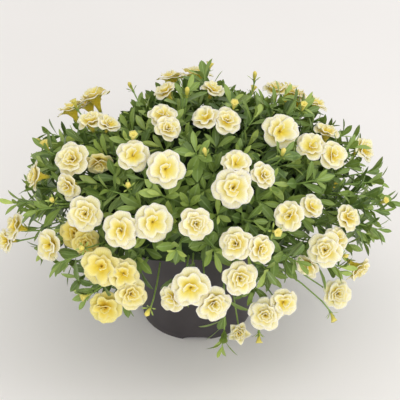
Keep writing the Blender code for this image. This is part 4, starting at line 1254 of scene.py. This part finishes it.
# %% Compost material
CRUMB = 2.2 * MM
compost, tree, shader, crumb = mottled_finish(
    "peat_compost",
    CRUMB,
    5.0,
    [(0.30, "#1E140D"), (0.55, "#3B2A1C"), (0.75, "#5C4631")],
    Roughness=0.95,
    IOR=1.4,
)
bump = add_node(tree, "Bump", Strength=0.8, Distance=1.5 * MM, Height=crumb)
tree.links.new(bump.outputs[0], shader.inputs["Normal"])
print("compost:", len(tree.nodes), "nodes")

# %% Compost body
SOIL_RINGS, SOIL_STEPS = 22, 72
SOIL_DOME = 3 * MM
SOIL_FLOOR = POT_FLOOR + 0.6 * MM
CRUMB_SEED = 9
top_radius = wall_radius(SOIL_TOP) - POT_WALL - 0.4 * MM
soil_profile = []
for i in range(SOIL_RINGS + 1):
    out = i / SOIL_RINGS
    soil_profile.append((top_radius * out, SOIL_TOP + SOIL_DOME * (1 - out * out)))
soil_profile += [(wall_radius(POT_FLOOR) - POT_WALL - 2.5 * MM, SOIL_FLOOR), (0, SOIL_FLOOR)]
soil = turned("compost", soil_profile, SOIL_STEPS)
crumbs = random.Random(CRUMB_SEED)
for vert in soil.data.vertices:
    edge = math.hypot(vert.co.x, vert.co.y)
    if vert.co.z > SOIL_TOP - MM and edge < top_radius - MM:
        vert.co.z += crumbs.uniform(-1.0, 0.7) * MM
soil.data.materials.clear()
soil.data.materials.append(compost)
soil.data.polygons.foreach_set("use_smooth", [True] * len(soil.data.polygons))
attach(soil, "root")
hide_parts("soil")
print("compost faces:", len(soil.data.polygons))

# %% [markdown]
# ## Floor and light
#
# The photograph was taken in a bright studio on a warm white sheet of matt paper. A wide pale floor
# and an even white surround give most of the light. A large soft lamp at the upper right adds the
# gentle modelling on the petals and the soft shadow at the lower left, and a wider one in front
# fills in under the plant. The Standard view shows each colour as its hex value was written, where
# Blender's usual film-like view would grey these whites and dull the yellow.

# %% Floor
PAPER_CLOUD = 333 * MM
bpy.ops.mesh.primitive_plane_add(size=12)
floor = bpy.context.object
floor.name = "floor"
paper = mottled_finish(
    "studio_paper", PAPER_CLOUD, 2.0, [(0.3, "#F6F2EC"), (0.7, "#F9F5EF")], Roughness=0.9
)[0]
floor.data.materials.append(paper)
print("floor:", paper.name)

# %% Light
SURROUND_STRENGTH = 0.82
LAMPS = [
    ("key", (1.3, -0.1, 1.8), 1.4, 8, "#F6F7FF"),
    ("fill", (0.7, -3.0, 1.4), 2.0, 38, "#F4F6FF"),
]
bpy.context.scene.view_settings.view_transform = "Standard"
surround = bpy.data.worlds.new("studio")
surround.use_nodes = True
background = surround.node_tree.nodes["Background"]
background.inputs["Color"].default_value = linear("#FAFAFB")
background.inputs["Strength"].default_value = SURROUND_STRENGTH
bpy.context.scene.world = surround


def soft_lamp(name, place, size, power, colour):
    """A square soft lamp of a width and power that faces the plant."""
    data = bpy.data.lights.new(name, "AREA")
    data.size = size
    data.energy = power
    data.color = linear(colour)[:3]
    made = bpy.data.objects.new(name, data)
    bpy.context.scene.collection.objects.link(made)
    made.location = place
    made.rotation_euler = (Vector(place) - DOME_CENTRE).to_track_quat("Z", "Y").to_euler()


for lamp in LAMPS:
    soft_lamp(*lamp)
print("lamps:", len(LAMPS))
